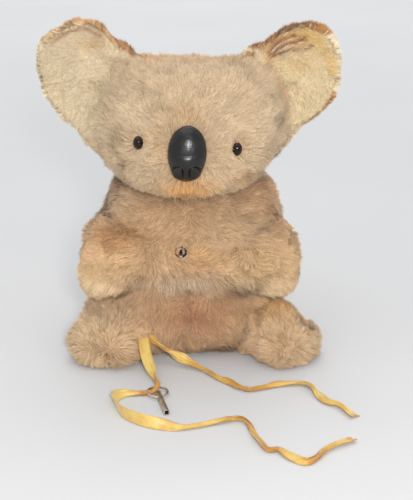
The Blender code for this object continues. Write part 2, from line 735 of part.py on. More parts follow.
def make_nose(skin):
    tilt = Matrix.Rotation(HEAD_TILT, 4, "Y")
    middle = on_face(0.0, -NOSE_DROP)
    middle.y += NOSE_SUNK
    form = SoftForm(-NOSE_HEIGHT / 2, NOSE_HEIGHT, NOSE_HALF_WIDTH, NOSE_HALF_DEPTH, NOSE_SHAPE, 2.1)
    bm = form.mesh(NOSE_SIDES, NOSE_RINGS)
    bmesh.ops.transform(bm, matrix=tilt, verts=bm.verts)
    bmesh.ops.translate(bm, vec=middle, verts=bm.verts)
    nose = keep("nose", bm, "black_plastic", sharp=50)
    for name, side in (("nostril_left", -1), ("nostril_right", 1)):
        rise = NOSTRIL_RISE - NOSE_HEIGHT / 2
        offset = Vector((side * NOSTRIL_SPACING / 2, -NOSE_HALF_DEPTH, rise))
        lean = tilt @ Matrix.Rotation(-side * NOSTRIL_LEAN, 4, "Y")
        half_sizes = (NOSTRIL_HALF_WIDTH, NOSTRIL_HALF_DEPTH, NOSTRIL_HALF_HEIGHT)
        place = middle + tilt.to_3x3() @ offset
        cut(nose, cutter(name, ellipsoid(place, half_sizes, 12, 8, lean)))
    cut(nose, skin)


def ear_ring(outline, side, z, scale, depth):
    """One ring of the ear: the outline drawn in by a scale, at a depth behind the front rim."""
    x = EAR_MIDDLE_X + side * EAR_SPREAD / 2
    ring = []
    for i in range(EAR_SIDES):
        out, up = spline(outline, i / EAR_SIDES, closed=True)
        ring.append(Vector((x + side * out * scale, EAR_Y + depth, z + up * scale)))
    return ring


def make_ear(name, side, outline, z, skin):
    """A plush shell with a turned-over rim, and the paler lining laid in its dish."""
    border = 1 - EAR_BORDER / max(abs(p) for point in outline for p in point)
    floor = EAR_DISH + EAR_LINING_THICKNESS
    lip = EAR_LIP + EAR_LINING_THICKNESS
    shell_rows = [(scale, floor * share) for scale, share in EAR_FLOOR]
    shell_rows += [(border, lip), (border + 0.012, 0.0), ((1 + border) / 2, -EAR_ROLL), (1.0, EAR_LIP)]
    shell_rows += [(scale, EAR_LIP + EAR_BACK_DEPTH * share) for scale, share in EAR_BACK]
    lining_rows = [(scale, EAR_DISH * share) for scale, share in EAR_FLOOR]
    lining_rows += [(border - 0.022, EAR_LIP * 0.45), (border - 0.016, lip - 2 * SEAT)]
    lining_rows += [(scale, floor * share - SEAT) for scale, share in reversed(EAR_FLOOR)]
    for part, finish, rows in (("shell", "fur_ochre", shell_rows), ("lining", "ear_plush", lining_rows)):
        bm = bmesh.new()
        loft(bm, [ear_ring(outline, side, z, scale, depth) for scale, depth in rows])
        cut(keep(f"ear_{part}_{name}", bm, finish, (NECK_X, NECK_Y, z), sharp=70), skin)


def limb(name, finish, centres, sizes, flat_bottom, skin):
    """A stuffed limb: ovals (half width across, half height) set square to a smooth path."""
    bm = bmesh.new()
    rings = len(centres)
    loops = []
    for i in range(rings):
        before, after = Vector(centres[max(i - 1, 0)]), Vector(centres[min(i + 1, rings - 1)])
        tangent = (after - before).normalized()
        across = tangent.cross(Vector((0, 0, 1))).normalized()
        up = across.cross(tangent).normalized()
        loop = oval(centres[i], across * sizes[i][0], up * sizes[i][1], 2.2, LIMB_SIDES)
        if flat_bottom:
            for point in loop:
                point.z = max(point.z, 0.0)
        loops.append(loop)
    loft(bm, loops)
    cut(keep(name, bm, finish, sharp=60), skin)


def make_arm(name, side, skin):
    path = [(ARM_MIDDLE_X + side * p[0], p[1], p[2]) for p in (ARM_ROOT, ARM_ELBOW, ARM_PAW)]
    end = ARM_MIDDLE_X + side * ARM_END_X
    centres, sizes = [], []
    for share in (0.0, 0.25, 0.5, 0.75, 1.0):
        centres.append(spline(path, share))
        ease = share * share * (3 - 2 * share)
        half_depth = ARM_ROOT_HALF_DEPTH + (ARM_PAW_HALF_DEPTH - ARM_ROOT_HALF_DEPTH) * ease
        half_height = ARM_ROOT_HALF_HEIGHT + (ARM_PAW_HALF_HEIGHT - ARM_ROOT_HALF_HEIGHT) * ease
        sizes.append((half_depth, half_height))
    last = centres[-1]
    for angle in ARM_END_TURNS:
        turn = math.radians(angle)
        centres.append((last[0] + (end - last[0]) * math.sin(turn), last[1], last[2]))
        sizes.append((ARM_PAW_HALF_DEPTH * math.cos(turn), ARM_PAW_HALF_HEIGHT * math.cos(turn)))
    limb(name, "fur_ochre", centres, sizes, False, skin)


def make_leg(name, hip, foot, skin):
    direction = (Vector(foot) - Vector(hip)).normalized()
    centres, sizes = [], []
    for share in (0.0, 0.35, 0.7, 1.0):
        centres.append(tuple(Vector(hip).lerp(Vector(foot), share)))
        swell = 0.90 + 0.10 * share
        half_height = LEG_HIP_HALF_HEIGHT + (LEG_FOOT_HALF_HEIGHT - LEG_HIP_HALF_HEIGHT) * share
        sizes.append((LEG_HALF_WIDTH * swell, half_height))
    for angle in LEG_END_TURNS:
        turn = math.radians(angle)
        centre = Vector(foot) + direction * LEG_END_LENGTH * math.sin(turn)
        centres.append(tuple(centre))
        sizes.append((LEG_HALF_WIDTH * math.cos(turn), LEG_FOOT_HALF_HEIGHT * math.cos(turn)))
    limb(name, "fur_tan", centres, sizes, True, skin)


def make_neck():
    sides = 16
    shaft_bore = bore(SHAFT_RADIUS, RUNNING, sides)
    shaft = (
        (SHAFT_RADIUS - SHAFT_TAPER, SHAFT_BOTTOM),
        (SHAFT_RADIUS, SHAFT_BOTTOM + SHAFT_TAPER),
        (SHAFT_RADIUS, SHAFT_TOP),
    )
    neck_piece("neck_shaft", "steel", shaft, sides, hollow=False)
    board = washer(bore(BUSH_RADIUS, PRESSED, sides), BOARD_RADIUS, BOARD_BOTTOM, BOARD_TOP)
    neck_piece("neck_board", "fibreboard", board, 24)
    bush = (
        (shaft_bore, BOARD_BOTTOM),
        (BUSH_RADIUS, BOARD_BOTTOM),
        (BUSH_RADIUS, BOARD_TOP + SEAT),
        (BUSH_FLANGE_RADIUS, BOARD_TOP + SEAT),
        (BUSH_FLANGE_RADIUS, FLANGE_TOP),
        (shaft_bore, FLANGE_TOP),
    )
    neck_piece("neck_bush", "brass", bush, sides)
    tight_bore = bore(SHAFT_RADIUS, PRESSED, sides)
    disc = washer(tight_bore, HEAD_DISC_RADIUS, DISC_BOTTOM, DISC_TOP)
    neck_piece("head_disc", "fibreboard", disc, 24)
    nut = washer(tight_bore, HEAD_NUT_RADIUS, NUT_BOTTOM, NUT_TOP)
    neck_piece("head_nut", "steel", nut, HEAD_NUT_SIDES)
    collar = washer(tight_bore, COLLAR_RADIUS, COLLAR_TOP - COLLAR_THICKNESS, COLLAR_TOP)
    neck_piece("shaft_collar", "brass", collar, sides)
    flange_top = CASE_TOP - CASE_WALL - RUNNING
    flange_bottom = flange_top - GUIDE_FLANGE_THICKNESS
    guide = (
        (shaft_bore, flange_bottom),
        (GUIDE_FLANGE_RADIUS, flange_bottom),
        (GUIDE_FLANGE_RADIUS, flange_top),
        (GUIDE_RADIUS, flange_top),
        (GUIDE_RADIUS, CASE_TOP),
        (shaft_bore, CASE_TOP),
    )
    neck_piece("shaft_guide", "brass", guide, sides)


def make_fork():
    """The forked lever on the neck shaft, whose slot the crank pin drives from side to side."""
    slot = CRANK_PIN_RADIUS + FORK_SLOT_CLEARANCE
    half = slot + FORK_PRONG_WIDTH
    pin_swing = CRANK_RADIUS + CRANK_PIN_RADIUS
    prong_bottom = SECOND_Z - pin_swing - FORK_BELOW_PIN
    hub_bottom = SECOND_Z + pin_swing + FORK_ABOVE_PIN
    hub_top = hub_bottom + FORK_HUB_HEIGHT
    hub = washer(bore(SHAFT_RADIUS, PRESSED, 16), FORK_HUB_RADIUS, hub_bottom, hub_top)
    lever = neck_piece("fork_lever", "steel", hub, 16)
    face = NECK_Y - FORK_REACH
    back = face + FORK_THICKNESS
    arm_back = NECK_Y - FORK_HUB_RADIUS * 0.75
    arm_bottom, arm_top = hub_bottom + FORK_ARM_INSET, hub_top - FORK_ARM_INSET
    outline = (
        (arm_back, arm_top), (face, arm_top), (face, prong_bottom),
        (back, prong_bottom), (back, arm_bottom), (arm_back, arm_bottom),
    )
    bm = bmesh.new()
    loft(bm, [[Vector((x, y, z)) for y, z in outline] for x in (NECK_X - half, NECK_X + half)])
    blade = cutter("fork_blade", bm)
    low = (NECK_X - slot, face - FORK_THICKNESS, prong_bottom - FORK_THICKNESS)
    high = (NECK_X + slot, back + FORK_THICKNESS, hub_bottom - FORK_SLOT_CLOSED)
    cut(blade, cutter("fork_slot", block(low, high)))
    join(lever, blade)


def plate_outline():
    """A rectangle with cut corners."""
    half_w, half_h, c = PLATE_WIDTH / 2, PLATE_HEIGHT / 2, PLATE_CORNER
    corners = []
    for sx, sz in ((1, 1), (-1, 1), (-1, -1), (1, -1)):
        pair = [(sx * half_w, sz * (half_h - c)), (sx * (half_w - c), sz * half_h)]
        corners += pair if sx * sz > 0 else list(reversed(pair))
    return [(PLATE_MIDDLE_X + x, PLATE_MIDDLE_Z + z) for x, z in corners]


def pillar_places():
    dx, dz = PLATE_WIDTH / 2 - PILLAR_INSET, PLATE_HEIGHT / 2 - PILLAR_INSET
    corners = ((-1, 1), (1, 1), (1, -1), (-1, -1))
    return [(PLATE_MIDDLE_X + sx * dx, PLATE_MIDDLE_Z + sz * dz) for sx, sz in corners]


def make_frame():
    """Plates, pillars and nuts of the movement."""
    pillar_hole = bore(PILLAR_END_RADIUS, PRESSED, 8)
    pivot_hole = bore(TRAIN_PIVOT_RADIUS, RUNNING, 8)
    small = [(SECOND_X, SECOND_Z), (THIRD_X, THIRD_Z), (FLY_X, FLY_Z)]
    for name, front, arbor_radius in (
        ("front_plate", MOVEMENT_FRONT, ARBOR_RADIUS),
        ("back_plate", PLATES_BACK_INSIDE, ARBOR_PIVOT_RADIUS),
    ):
        loops = [plate_outline(), circle(ARBOR_X, ARBOR_Z, bore(arbor_radius, RUNNING, 12), 12)]
        loops += [circle(x, z, pillar_hole, 8) for x, z in pillar_places()]
        loops += [circle(x, z, pivot_hole, 8) for x, z in small]
        keep(name, slab(loops, front, PLATE_THICKNESS), "brass")
    end = PILLAR_END_RADIUS
    reach = PLATE_THICKNESS + NUT_THICKNESS + 2 * SEAT
    profile = (
        (end, -PLATE_THICKNESS), (end, SEAT), (PILLAR_RADIUS, SEAT), (PILLAR_RADIUS, PLATE_GAP - SEAT),
        (end, PLATE_GAP - SEAT), (end, PLATE_GAP + reach),
    )
    nut = washer(bore(end, PRESSED, 6), NUT_ACROSS_CORNERS / 2, 0.0, NUT_THICKNESS)
    for number, (x, z) in enumerate(pillar_places(), 1):
        bm = turned(profile, (x, PLATES_FRONT_INSIDE, z), (0, 1, 0), 8)
        keep(f"pillar_{number}", bm, "steel", (x, PLATES_FRONT_INSIDE, z))
        bm = turned(nut, (x, MOVEMENT_BACK + SEAT, z), (0, 1, 0), 6, hollow=True)
        keep(f"pillar_nut_{number}", bm, "steel", (x, MOVEMENT_BACK, z))


def make_case():
    low = Vector((CASE_LEFT, CASE_FRONT, CASE_BOTTOM))
    high = Vector((CASE_RIGHT, CASE_BACK, CASE_TOP))
    case = keep("movement_case", block(low, high), "tinplate")
    wall = Vector((CASE_WALL, CASE_WALL, CASE_WALL))
    open_back = Vector((0, 2 * CASE_WALL, 0))
    cut(case, cutter("case_hollow", block(low + wall, high - wall + open_back)))
    radius = bore(GUIDE_RADIUS, PRESSED, 16)
    hole = ((radius, CASE_TOP - 2 * CASE_WALL), (radius, CASE_TOP + CASE_WALL))
    cut(case, cutter("guide_hole", turned(hole, (NECK_X, NECK_Y, 0), (0, 0, 1), 16)))
    radius = bore(ARBOR_RADIUS, SEAT, 12)
    hole = ((radius, -CASE_WALL), (radius, 2 * CASE_WALL))
    cut(case, cutter("arbor_hole", turned(hole, (ARBOR_X, CASE_FRONT, ARBOR_Z), (0, 1, 0), 12)))
    cover_low = (CASE_LEFT, CASE_BACK + SEAT, CASE_BOTTOM)
    cover_high = (CASE_RIGHT, CASE_BACK + SEAT + CASE_WALL, CASE_TOP)
    keep("case_cover", block(cover_low, cover_high), "tinplate")


def make_mainspring():
    """A flat spiral round the arbor whose outer end hooks on the upper left pillar."""
    steps = SPRING_TURNS * SPRING_STEPS
    inner = ARBOR_RADIUS + SEAT + SPRING_THICKNESS / 2
    hook_x, hook_z = pillar_places()[0]
    hook_angle = math.atan2(hook_z - ARBOR_Z, hook_x - ARBOR_X)
    path = []
    for i in range(steps + 1):
        share = i / steps
        radius = inner + (SPRING_OUTER_RADIUS - inner) * share
        angle = hook_angle - SPRING_LEAD - 2 * math.pi * SPRING_TURNS * (1 - share)
        path.append(Vector((ARBOR_X + radius * math.cos(angle), ARBOR_Z + radius * math.sin(angle))))
    bend = PILLAR_RADIUS + SEAT + SPRING_THICKNESS / 2
    hook = Vector((hook_x, hook_z))
    for degrees in (-60, -20, 20, 60, 100, 140, 175):
        angle = hook_angle + math.radians(degrees)
        path.append(hook + Vector((math.cos(angle), math.sin(angle))) * bend)
    loops = []
    for i, point in enumerate(path):
        tangent = (path[min(i + 1, len(path) - 1)] - path[max(i - 1, 0)]).normalized()
        side = Vector((-tangent.y, tangent.x)) * SPRING_THICKNESS / 2
        a, b = point + side, point - side
        front, back = SPRING_FRONT, SPRING_FRONT + SPRING_WIDTH
        corners = ((a, front), (b, front), (b, back), (a, back))
        loops.append([Vector((edge.x, y, edge.y)) for edge, y in corners])
    bm = bmesh.new()
    loft(bm, loops)
    keep("mainspring", bm, "spring_steel", (ARBOR_X, SPRING_FRONT, ARBOR_Z))


def make_arbor():
    """The winding arbor, whose square end stands out of the belly, and its ratchet wheel."""
    square_back = CASE_FRONT - ARBOR_NECK / 2
    shoulder = GREAT_FRONT + WHEEL_THICKNESS + STACK_GAP
    sides = 12
    rows = [
        (ARBOR_SQUARE / 2, STEM_FRONT, True),
        (ARBOR_SQUARE / 2, square_back, True),
        (ARBOR_RADIUS, square_back + ARBOR_SQUARE_TAPER, False),
        (ARBOR_RADIUS, shoulder, False),
        (ARBOR_SHOULDER_RADIUS, shoulder, False),
        (ARBOR_SHOULDER_RADIUS, PLATES_BACK_INSIDE - SEAT, False),
        (ARBOR_PIVOT_RADIUS, PLATES_BACK_INSIDE - SEAT, False),
        (ARBOR_PIVOT_RADIUS, MOVEMENT_BACK, False),
    ]
    loops = []
    for radius, y, square in rows:
        ring = []
        for i in range(sides):
            angle = 2 * math.pi * i / sides
            reach = radius
            if square:
                reach = radius / max(abs(math.cos(angle)), abs(math.sin(angle)))
            ring.append(Vector((ARBOR_X + reach * math.cos(angle), y, ARBOR_Z + reach * math.sin(angle))))
        loops.append(ring)
    bm = bmesh.new()
    loft(bm, loops)
    keep("winding_arbor", bm, "steel", (ARBOR_X, STEM_FRONT, ARBOR_Z))
    points = []
    root = RATCHET_RADIUS - RATCHET_TOOTH_HEIGHT
    for tooth in range(RATCHET_TEETH):
        start = CLICK_TIP_ANGLE + 2 * math.pi * tooth / RATCHET_TEETH
        for radius, offset in ((RATCHET_RADIUS, 0.0), (root, 0.06)):
            angle = start + 2 * math.pi * offset / RATCHET_TEETH
            points.append((ARBOR_X + radius * math.cos(angle), ARBOR_Z + radius * math.sin(angle)))
    loops = [points, circle(ARBOR_X, ARBOR_Z, bore(ARBOR_RADIUS, PRESSED, 12), 12)]
    bm = slab(loops, RATCHET_FRONT, RATCHET_THICKNESS)
    keep("ratchet_wheel", bm, "steel", (ARBOR_X, RATCHET_FRONT, ARBOR_Z))


def make_click():
    """The springy click riveted to the great wheel, with its tip riding on a ratchet tooth."""
    centre = Vector((ARBOR_X, ARBOR_Z))
    towards_pivot = Vector((math.cos(CLICK_PIVOT_ANGLE), math.sin(CLICK_PIVOT_ANGLE)))
    out = Vector((math.cos(CLICK_TIP_ANGLE), math.sin(CLICK_TIP_ANGLE)))
    pivot = centre + towards_pivot * CLICK_PIVOT_RADIUS
    tip = centre + out * (RATCHET_RADIUS + SEAT)
    heel = tip + out * CLICK_HEEL
    along = tip - pivot
    base = math.atan2(along.y, along.x)
    outline = []
    for degrees in (70, 115, 160, 205, 250, 290):
        angle = base + math.radians(degrees)
        outline.append(pivot + Vector((math.cos(angle), math.sin(angle))) * CLICK_BOSS_RADIUS)
    outline.append(pivot.lerp(tip, CLICK_ARCH_SHARE) + out * CLICK_ARCH_INSIDE)
    outline += [tip, heel]
    outline.append(pivot.lerp(heel, CLICK_ARCH_SHARE) + out * CLICK_ARCH_OUTSIDE)
    px, pz = pivot
    hole = circle(px, pz, bore(CLICK_RIVET_RADIUS, RUNNING, 8), 8)
    bm = slab([[tuple(point) for point in outline], hole], RATCHET_FRONT, RATCHET_THICKNESS)
    keep("click", bm, "spring_steel", (px, RATCHET_FRONT, pz))
    head_back = RATCHET_FRONT - PRESSED
    rivet = (
        (CLICK_RIVET_HEAD_RADIUS, head_back - CLICK_RIVET_HEAD),
        (CLICK_RIVET_HEAD_RADIUS, head_back),
        (CLICK_RIVET_RADIUS, head_back),
        (CLICK_RIVET_RADIUS, GREAT_FRONT + WHEEL_THICKNESS),
    )
    bm = turned(rivet, (px, 0, pz), (0, 1, 0), 8)
    keep("click_rivet", bm, "steel", (px, RATCHET_FRONT, pz))
    return px, pz


def wheel(name, x, z, teeth, module, phase, front, spokes):
    hole = bore(TRAIN_SHAFT_RADIUS, PRESSED, 8)
    rim = teeth * module / 2 - 3.0 * module
    loops = [gear_outline(x, z, teeth, module, phase), circle(x, z, hole, 8)]
    loops += windows(x, z, hole * 2.2, rim, spokes)
    keep(name, slab(loops, front, WHEEL_THICKNESS), "brass", (x, front, z))


def pinion_arbor(name, x, z, teeth, module, towards, front, back_reach=0.0):
    """A steel arbor and its pinion in one piece, with a pivot in each plate.

    A gap of the pinion faces the wheel that drives it, which lies in the direction given.
    """
    outline = gear_outline(x, z, teeth, module, towards + math.pi / teeth)
    pinion = keep(name, slab([outline], front, PINION_LENGTH), "steel", (x, front, z))
    pivot, shaft = TRAIN_PIVOT_RADIUS, TRAIN_SHAFT_RADIUS
    front_shoulder, back_shoulder = PLATES_FRONT_INSIDE + SEAT, PLATES_BACK_INSIDE - SEAT
    rows = (
        (pivot, MOVEMENT_FRONT), (pivot, front_shoulder), (shaft, front_shoulder),
        (shaft, back_shoulder), (pivot, back_shoulder), (pivot, MOVEMENT_BACK + back_reach),
    )
    join(pinion, cutter(f"{name}_rod", turned(rows, (x, 0, z), (0, 1, 0), 8)))


def make_train(click_place):
    to_second = math.atan2(SECOND_Z - ARBOR_Z, SECOND_X - ARBOR_X)
    to_third, to_fly = THIRD_ARBOR_ANGLE, FLY_ARBOR_ANGLE
    great_loops = [
        gear_outline(ARBOR_X, ARBOR_Z, GREAT_TEETH, GREAT_MODULE, to_second),
        circle(ARBOR_X, ARBOR_Z, bore(ARBOR_RADIUS, RUNNING, 12), 12),
        circle(*click_place, bore(CLICK_RIVET_RADIUS, PRESSED, 8), 8),
    ]
    bm = slab(great_loops, GREAT_FRONT, WHEEL_THICKNESS)
    keep("great_wheel", bm, "brass", (ARBOR_X, GREAT_FRONT, ARBOR_Z))
    x, z = SECOND_X, SECOND_Z
    crank_reach = STACK_GAP + CRANK_DISC_THICKNESS
    teeth, towards = SECOND_PINION_TEETH, to_second + math.pi
    pinion_arbor("second_arbor", x, z, teeth, GREAT_MODULE, towards, SECOND_PINION_FRONT, crank_reach)
    wheel("second_wheel", x, z, SECOND_TEETH, SECOND_MODULE, to_third, SECOND_WHEEL_FRONT, 4)
    x, z = THIRD_X, THIRD_Z
    teeth, towards = THIRD_PINION_TEETH, to_third + math.pi
    pinion_arbor("third_arbor", x, z, teeth, SECOND_MODULE, towards, THIRD_PINION_FRONT)
    wheel("third_wheel", x, z, THIRD_TEETH, THIRD_MODULE, to_fly, THIRD_WHEEL_FRONT, 3)
    teeth, towards = FLY_PINION_TEETH, to_fly + math.pi
    pinion_arbor("fly_arbor", FLY_X, FLY_Z, teeth, THIRD_MODULE, towards, FLY_PINION_FRONT)


def make_fly():
    """A two-vaned air brake pushed on the last arbor."""
    front = RATCHET_FRONT - FLY_LENGTH - STACK_GAP
    half = FLY_THICKNESS / 2
    edge = math.asin(half / FLY_HUB_RADIUS)
    outline = []
    for turn in (0.0, math.pi):
        c, s = math.cos(turn), math.sin(turn)
        for x, z in ((FLY_RADIUS, -half), (FLY_RADIUS, half)):
            outline.append((x * c - z * s, x * s + z * c))
        for k in range(5):
            angle = turn + edge + (math.pi - 2 * edge) * k / 4
            outline.append((FLY_HUB_RADIUS * math.cos(angle), FLY_HUB_RADIUS * math.sin(angle)))
    hole = circle(FLY_X, FLY_Z, bore(TRAIN_SHAFT_RADIUS, PRESSED, 8), 8)
    loops = [[(FLY_X + x, FLY_Z + z) for x, z in outline], hole]
    keep("fly", slab(loops, front, FLY_LENGTH), "tinplate", (FLY_X, front, FLY_Z))


def make_crank():
    pin_z = SECOND_Z + CRANK_RADIUS
    loops = [
        circle(SECOND_X, SECOND_Z, CRANK_DISC_RADIUS, 20),
        circle(SECOND_X, SECOND_Z, bore(TRAIN_PIVOT_RADIUS, PRESSED, 8), 8),
        circle(SECOND_X, pin_z, bore(CRANK_PIN_RADIUS, PRESSED, 8), 8),
    ]
    origin = (SECOND_X, CRANK_DISC_FRONT, SECOND_Z)
    keep("crank_disc", slab(loops, CRANK_DISC_FRONT, CRANK_DISC_THICKNESS), "brass", origin)
    half = CRANK_PIN_RADIUS + FORK_SLOT_CLEARANCE + FORK_PRONG_WIDTH
    pin_end = NECK_Y - math.hypot(FORK_REACH, half) - CRANK_PIN_GAP
    pin = (
        (CRANK_PIN_RADIUS, CRANK_DISC_FRONT),
        (CRANK_PIN_RADIUS, pin_end - EDGE_BREAK),
        (CRANK_PIN_RADIUS - EDGE_BREAK, pin_end),
    )
    keep("crank_pin", turned(pin, (SECOND_X, 0, pin_z), (0, 1, 0), 8), "steel", origin)


def make_ferrule():
    front, back = FERRULE_FRONT, CASE_FRONT - SEAT
    profile = (
        (FERRULE_BORE, back),
        (FERRULE_RADIUS, back),
        (FERRULE_RADIUS, front + FERRULE_RIM_THICKNESS),
        (FERRULE_RIM_RADIUS, front + FERRULE_RIM_THICKNESS),
        (FERRULE_RIM_RADIUS, front + EDGE_BREAK),
        (FERRULE_RIM_RADIUS - EDGE_BREAK, front),
        (FERRULE_BORE + EDGE_BREAK, front),
        (FERRULE_BORE, front + EDGE_BREAK),
    )
    bm = turned(profile, (ARBOR_X, 0, ARBOR_Z), (0, 1, 0), FERRULE_SIDES, hollow=True)
    keep("belly_ferrule", bm, "nickel", (ARBOR_X, front, ARBOR_Z))


def make_key():
    """A tube key lying on its side, with a wire ring through the blind end of its tube."""
    heading = Vector((math.cos(KEY_HEADING), math.sin(KEY_HEADING), 0.0))
    side = Vector((heading.y, -heading.x, 0.0))
    up = Vector((0.0, 0.0, 1.0))
    start = Vector((*KEY_HEAD_END, KEY_TUBE_RADIUS))
    profile = (
        (KEY_DOME_RADIUS, 0.0),
        ((KEY_DOME_RADIUS + 2 * KEY_TUBE_RADIUS) / 3, KEY_DOME / 3),
        (KEY_TUBE_RADIUS, KEY_DOME),
        (KEY_TUBE_RADIUS, KEY_LENGTH - EDGE_BREAK),
        (KEY_TUBE_RADIUS - EDGE_BREAK, KEY_LENGTH),
    )
    tube = turned(profile, start, heading, 16, phase=math.pi / 16)
    shank = keep("key_shank", tube, "nickel", start)
    half = ARBOR_SQUARE / 2 + KEY_SOCKET_CLEARANCE
    corners = [(side * a + up * b) * half for a, b in ((1, 1), (-1, 1), (-1, -1), (1, -1))]
    bm = bmesh.new()
    ends = (KEY_LENGTH - KEY_SOCKET_DEPTH, KEY_LENGTH + CUT_MARGIN)
    loft(bm, [[start + heading * end + corner for corner in corners] for end in ends])
    cut(shank, cutter("key_socket", bm))
    sagitta = KEY_RING_RADIUS - math.sqrt(KEY_RING_RADIUS**2 - KEY_TUBE_RADIUS**2)
    hole_radius = KEY_WIRE_RADIUS + sagitta / 2 + SEAT
    hole = start + heading * (KEY_HOLE_INSET - sagitta / 2)
    drill = ((hole_radius, -CUT_MARGIN), (hole_radius, CUT_MARGIN))
    cut(shank, cutter("key_cross_hole", turned(drill, hole, side, 12)))
    back = up * math.sin(KEY_RING_LIFT) - heading * math.cos(KEY_RING_LIFT)
    normal = side.cross(back).normalized()
    middle = start + heading * KEY_HOLE_INSET + back * KEY_RING_RADIUS
    bm = bmesh.new()
    rows = []
    for i in range(KEY_RING_STEPS):
        turn = 2 * math.pi * i / KEY_RING_STEPS
        radial = back * math.cos(turn) + side * math.sin(turn)
        centre = middle + radial * KEY_RING_RADIUS
        across, along = radial * KEY_WIRE_RADIUS, normal * KEY_WIRE_RADIUS
        rows.append([bm.verts.new(p) for p in oval(centre, across, along, 2.0, KEY_WIRE_SIDES)])
    for i, row in enumerate(rows):
        after = rows[(i + 1) % KEY_RING_STEPS]
        for k in range(KEY_WIRE_SIDES):
            m = (k + 1) % KEY_WIRE_SIDES
            bm.faces.new((row[k], row[m], after[m], after[k]))
    keep("key_ring", bm, "nickel", middle)


def strand(name, route):
    """A ribbon strand as a plain tube along the smooth curve through its route."""
    length = sum((Vector(b) - Vector(a)).length for a, b in zip(route, route[1:]))
    count = round(length / RIBBON_POINT_SPACING)
    dense = [Vector(spline(route, i / (count * 20))) for i in range(count * 20 + 1)]
    travelled = [0.0]
    for a, b in zip(dense, dense[1:]):
        travelled.append(travelled[-1] + (b - a).length)
    points, index = [], 0
    for i in range(count + 1):
        target = travelled[-1] * i / count
        while index < len(dense) - 1 and travelled[index] < target:
            index += 1
        points.append(dense[index])
    curve = bpy.data.curves.new(name, "CURVE")
    curve.dimensions = "3D"
    curve.bevel_depth = RIBBON_TUBE_RADIUS
    curve.bevel_resolution = 1
    curve.use_fill_caps = True
    line = curve.splines.new("POLY")
    line.points.add(len(points) - 1)
    for vertex, point in zip(line.points, points):
        vertex.co = (*point, 1.0)
    obj = bpy.data.objects.new(name, curve)
    obj.data.materials.append(material("satin_ribbon"))
    bpy.context.collection.objects.link(obj)


def make_ribbon(skin):
    surface = torso_form.front(RIBBON_TACK_X, RIBBON_TACK_Z)
    half_w, half_h = RIBBON_TACK_WIDTH / 2, RIBBON_TACK_HEIGHT / 2
    low = (RIBBON_TACK_X - half_w, surface - RIBBON_TACK_PROUD, RIBBON_TACK_Z - half_h)
    high = (RIBBON_TACK_X + half_w, surface + RIBBON_TACK_ROOT, RIBBON_TACK_Z + half_h)
    cut(keep("ribbon_tack", block(low, high), "satin_ribbon"), skin)
    strand("ribbon_key_strand", KEY_STRAND_ROUTE)
    strand("ribbon_plain_strand", PLAIN_STRAND_ROUTE)


def main():
    clear_scene()
    torso_skin = cutter("torso_skin", torso_form.mesh(TORSO_SIDES, TORSO_RINGS, grow=SEAT))
    head_skin = cutter("head_skin", head_form.mesh(HEAD_SIDES, HEAD_RINGS, grow=SEAT))
    make_torso()
    make_head()
    make_eye("eye_left", -1, head_skin)
    make_eye("eye_right", 1, head_skin)
    make_nose(head_skin)
    make_ear("left", -1, EAR_LEFT_OUTLINE, EAR_LEFT_Z, head_skin)
    make_ear("right", 1, EAR_RIGHT_OUTLINE, EAR_RIGHT_Z, head_skin)
    make_arm("arm_left", -1, torso_skin)
    make_arm("arm_right", 1, torso_skin)
    make_leg("leg_left", LEG_LEFT_HIP, LEG_LEFT_FOOT, torso_skin)
    make_leg("leg_right", LEG_RIGHT_HIP, LEG_RIGHT_FOOT, torso_skin)
    make_neck()
    make_fork()
    make_frame()
    make_case()
    make_mainspring()
    make_arbor()
    make_train(make_click())
    make_fly()
    make_crank()
    make_ferrule()
    make_key()
    make_ribbon(torso_skin)


main()
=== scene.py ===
"""The look of a clockwork koala toy.

A stuffed plush koala with a matted pile, a black nose, a square winding stem in the belly, and a
tube key on a long satin ribbon. Lengths are in metres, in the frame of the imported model.
"""
import math
from dataclasses import dataclass
from itertools import product

import bmesh
import bpy
import numpy as np
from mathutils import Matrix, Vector
from mathutils.bvhtree import BVHTree
from mathutils.kdtree import KDTree


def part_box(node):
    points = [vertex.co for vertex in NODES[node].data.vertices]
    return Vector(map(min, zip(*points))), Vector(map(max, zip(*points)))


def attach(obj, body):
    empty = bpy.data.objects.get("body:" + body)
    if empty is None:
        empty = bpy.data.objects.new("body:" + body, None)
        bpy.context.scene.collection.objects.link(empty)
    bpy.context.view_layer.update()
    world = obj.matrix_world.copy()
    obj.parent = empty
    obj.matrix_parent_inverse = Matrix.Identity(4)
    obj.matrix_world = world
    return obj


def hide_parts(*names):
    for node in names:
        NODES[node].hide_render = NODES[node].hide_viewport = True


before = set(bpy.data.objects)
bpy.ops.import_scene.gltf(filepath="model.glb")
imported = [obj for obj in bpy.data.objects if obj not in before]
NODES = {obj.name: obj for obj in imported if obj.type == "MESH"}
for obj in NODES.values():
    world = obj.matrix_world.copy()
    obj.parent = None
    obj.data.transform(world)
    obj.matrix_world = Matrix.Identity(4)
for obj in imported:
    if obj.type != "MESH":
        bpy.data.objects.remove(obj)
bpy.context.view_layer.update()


def add(name, data):
    """An object of the scene that holds this data."""
    thing = bpy.data.objects.new(name, data)
    bpy.context.scene.collection.objects.link(thing)
    return thing


# Camera, floor and light

PICTURE_HEIGHT = 500
FOCAL_PIXELS = 1283.0
SENSOR = 36.0

camera_data = bpy.data.cameras.new("camera")
camera_data.sensor_fit = "VERTICAL"
camera_data.sensor_width = SENSOR
camera_data.sensor_height = SENSOR
camera_data.lens = FOCAL_PIXELS / PICTURE_HEIGHT * SENSOR
camera = add("camera", camera_data)
camera.location = (0.0159, -1.0269, 0.4701)
camera.rotation_euler = (math.radians(69), 0, 0)
bpy.context.scene.camera = camera
bpy.context.scene.view_settings.view_transform = "Standard"


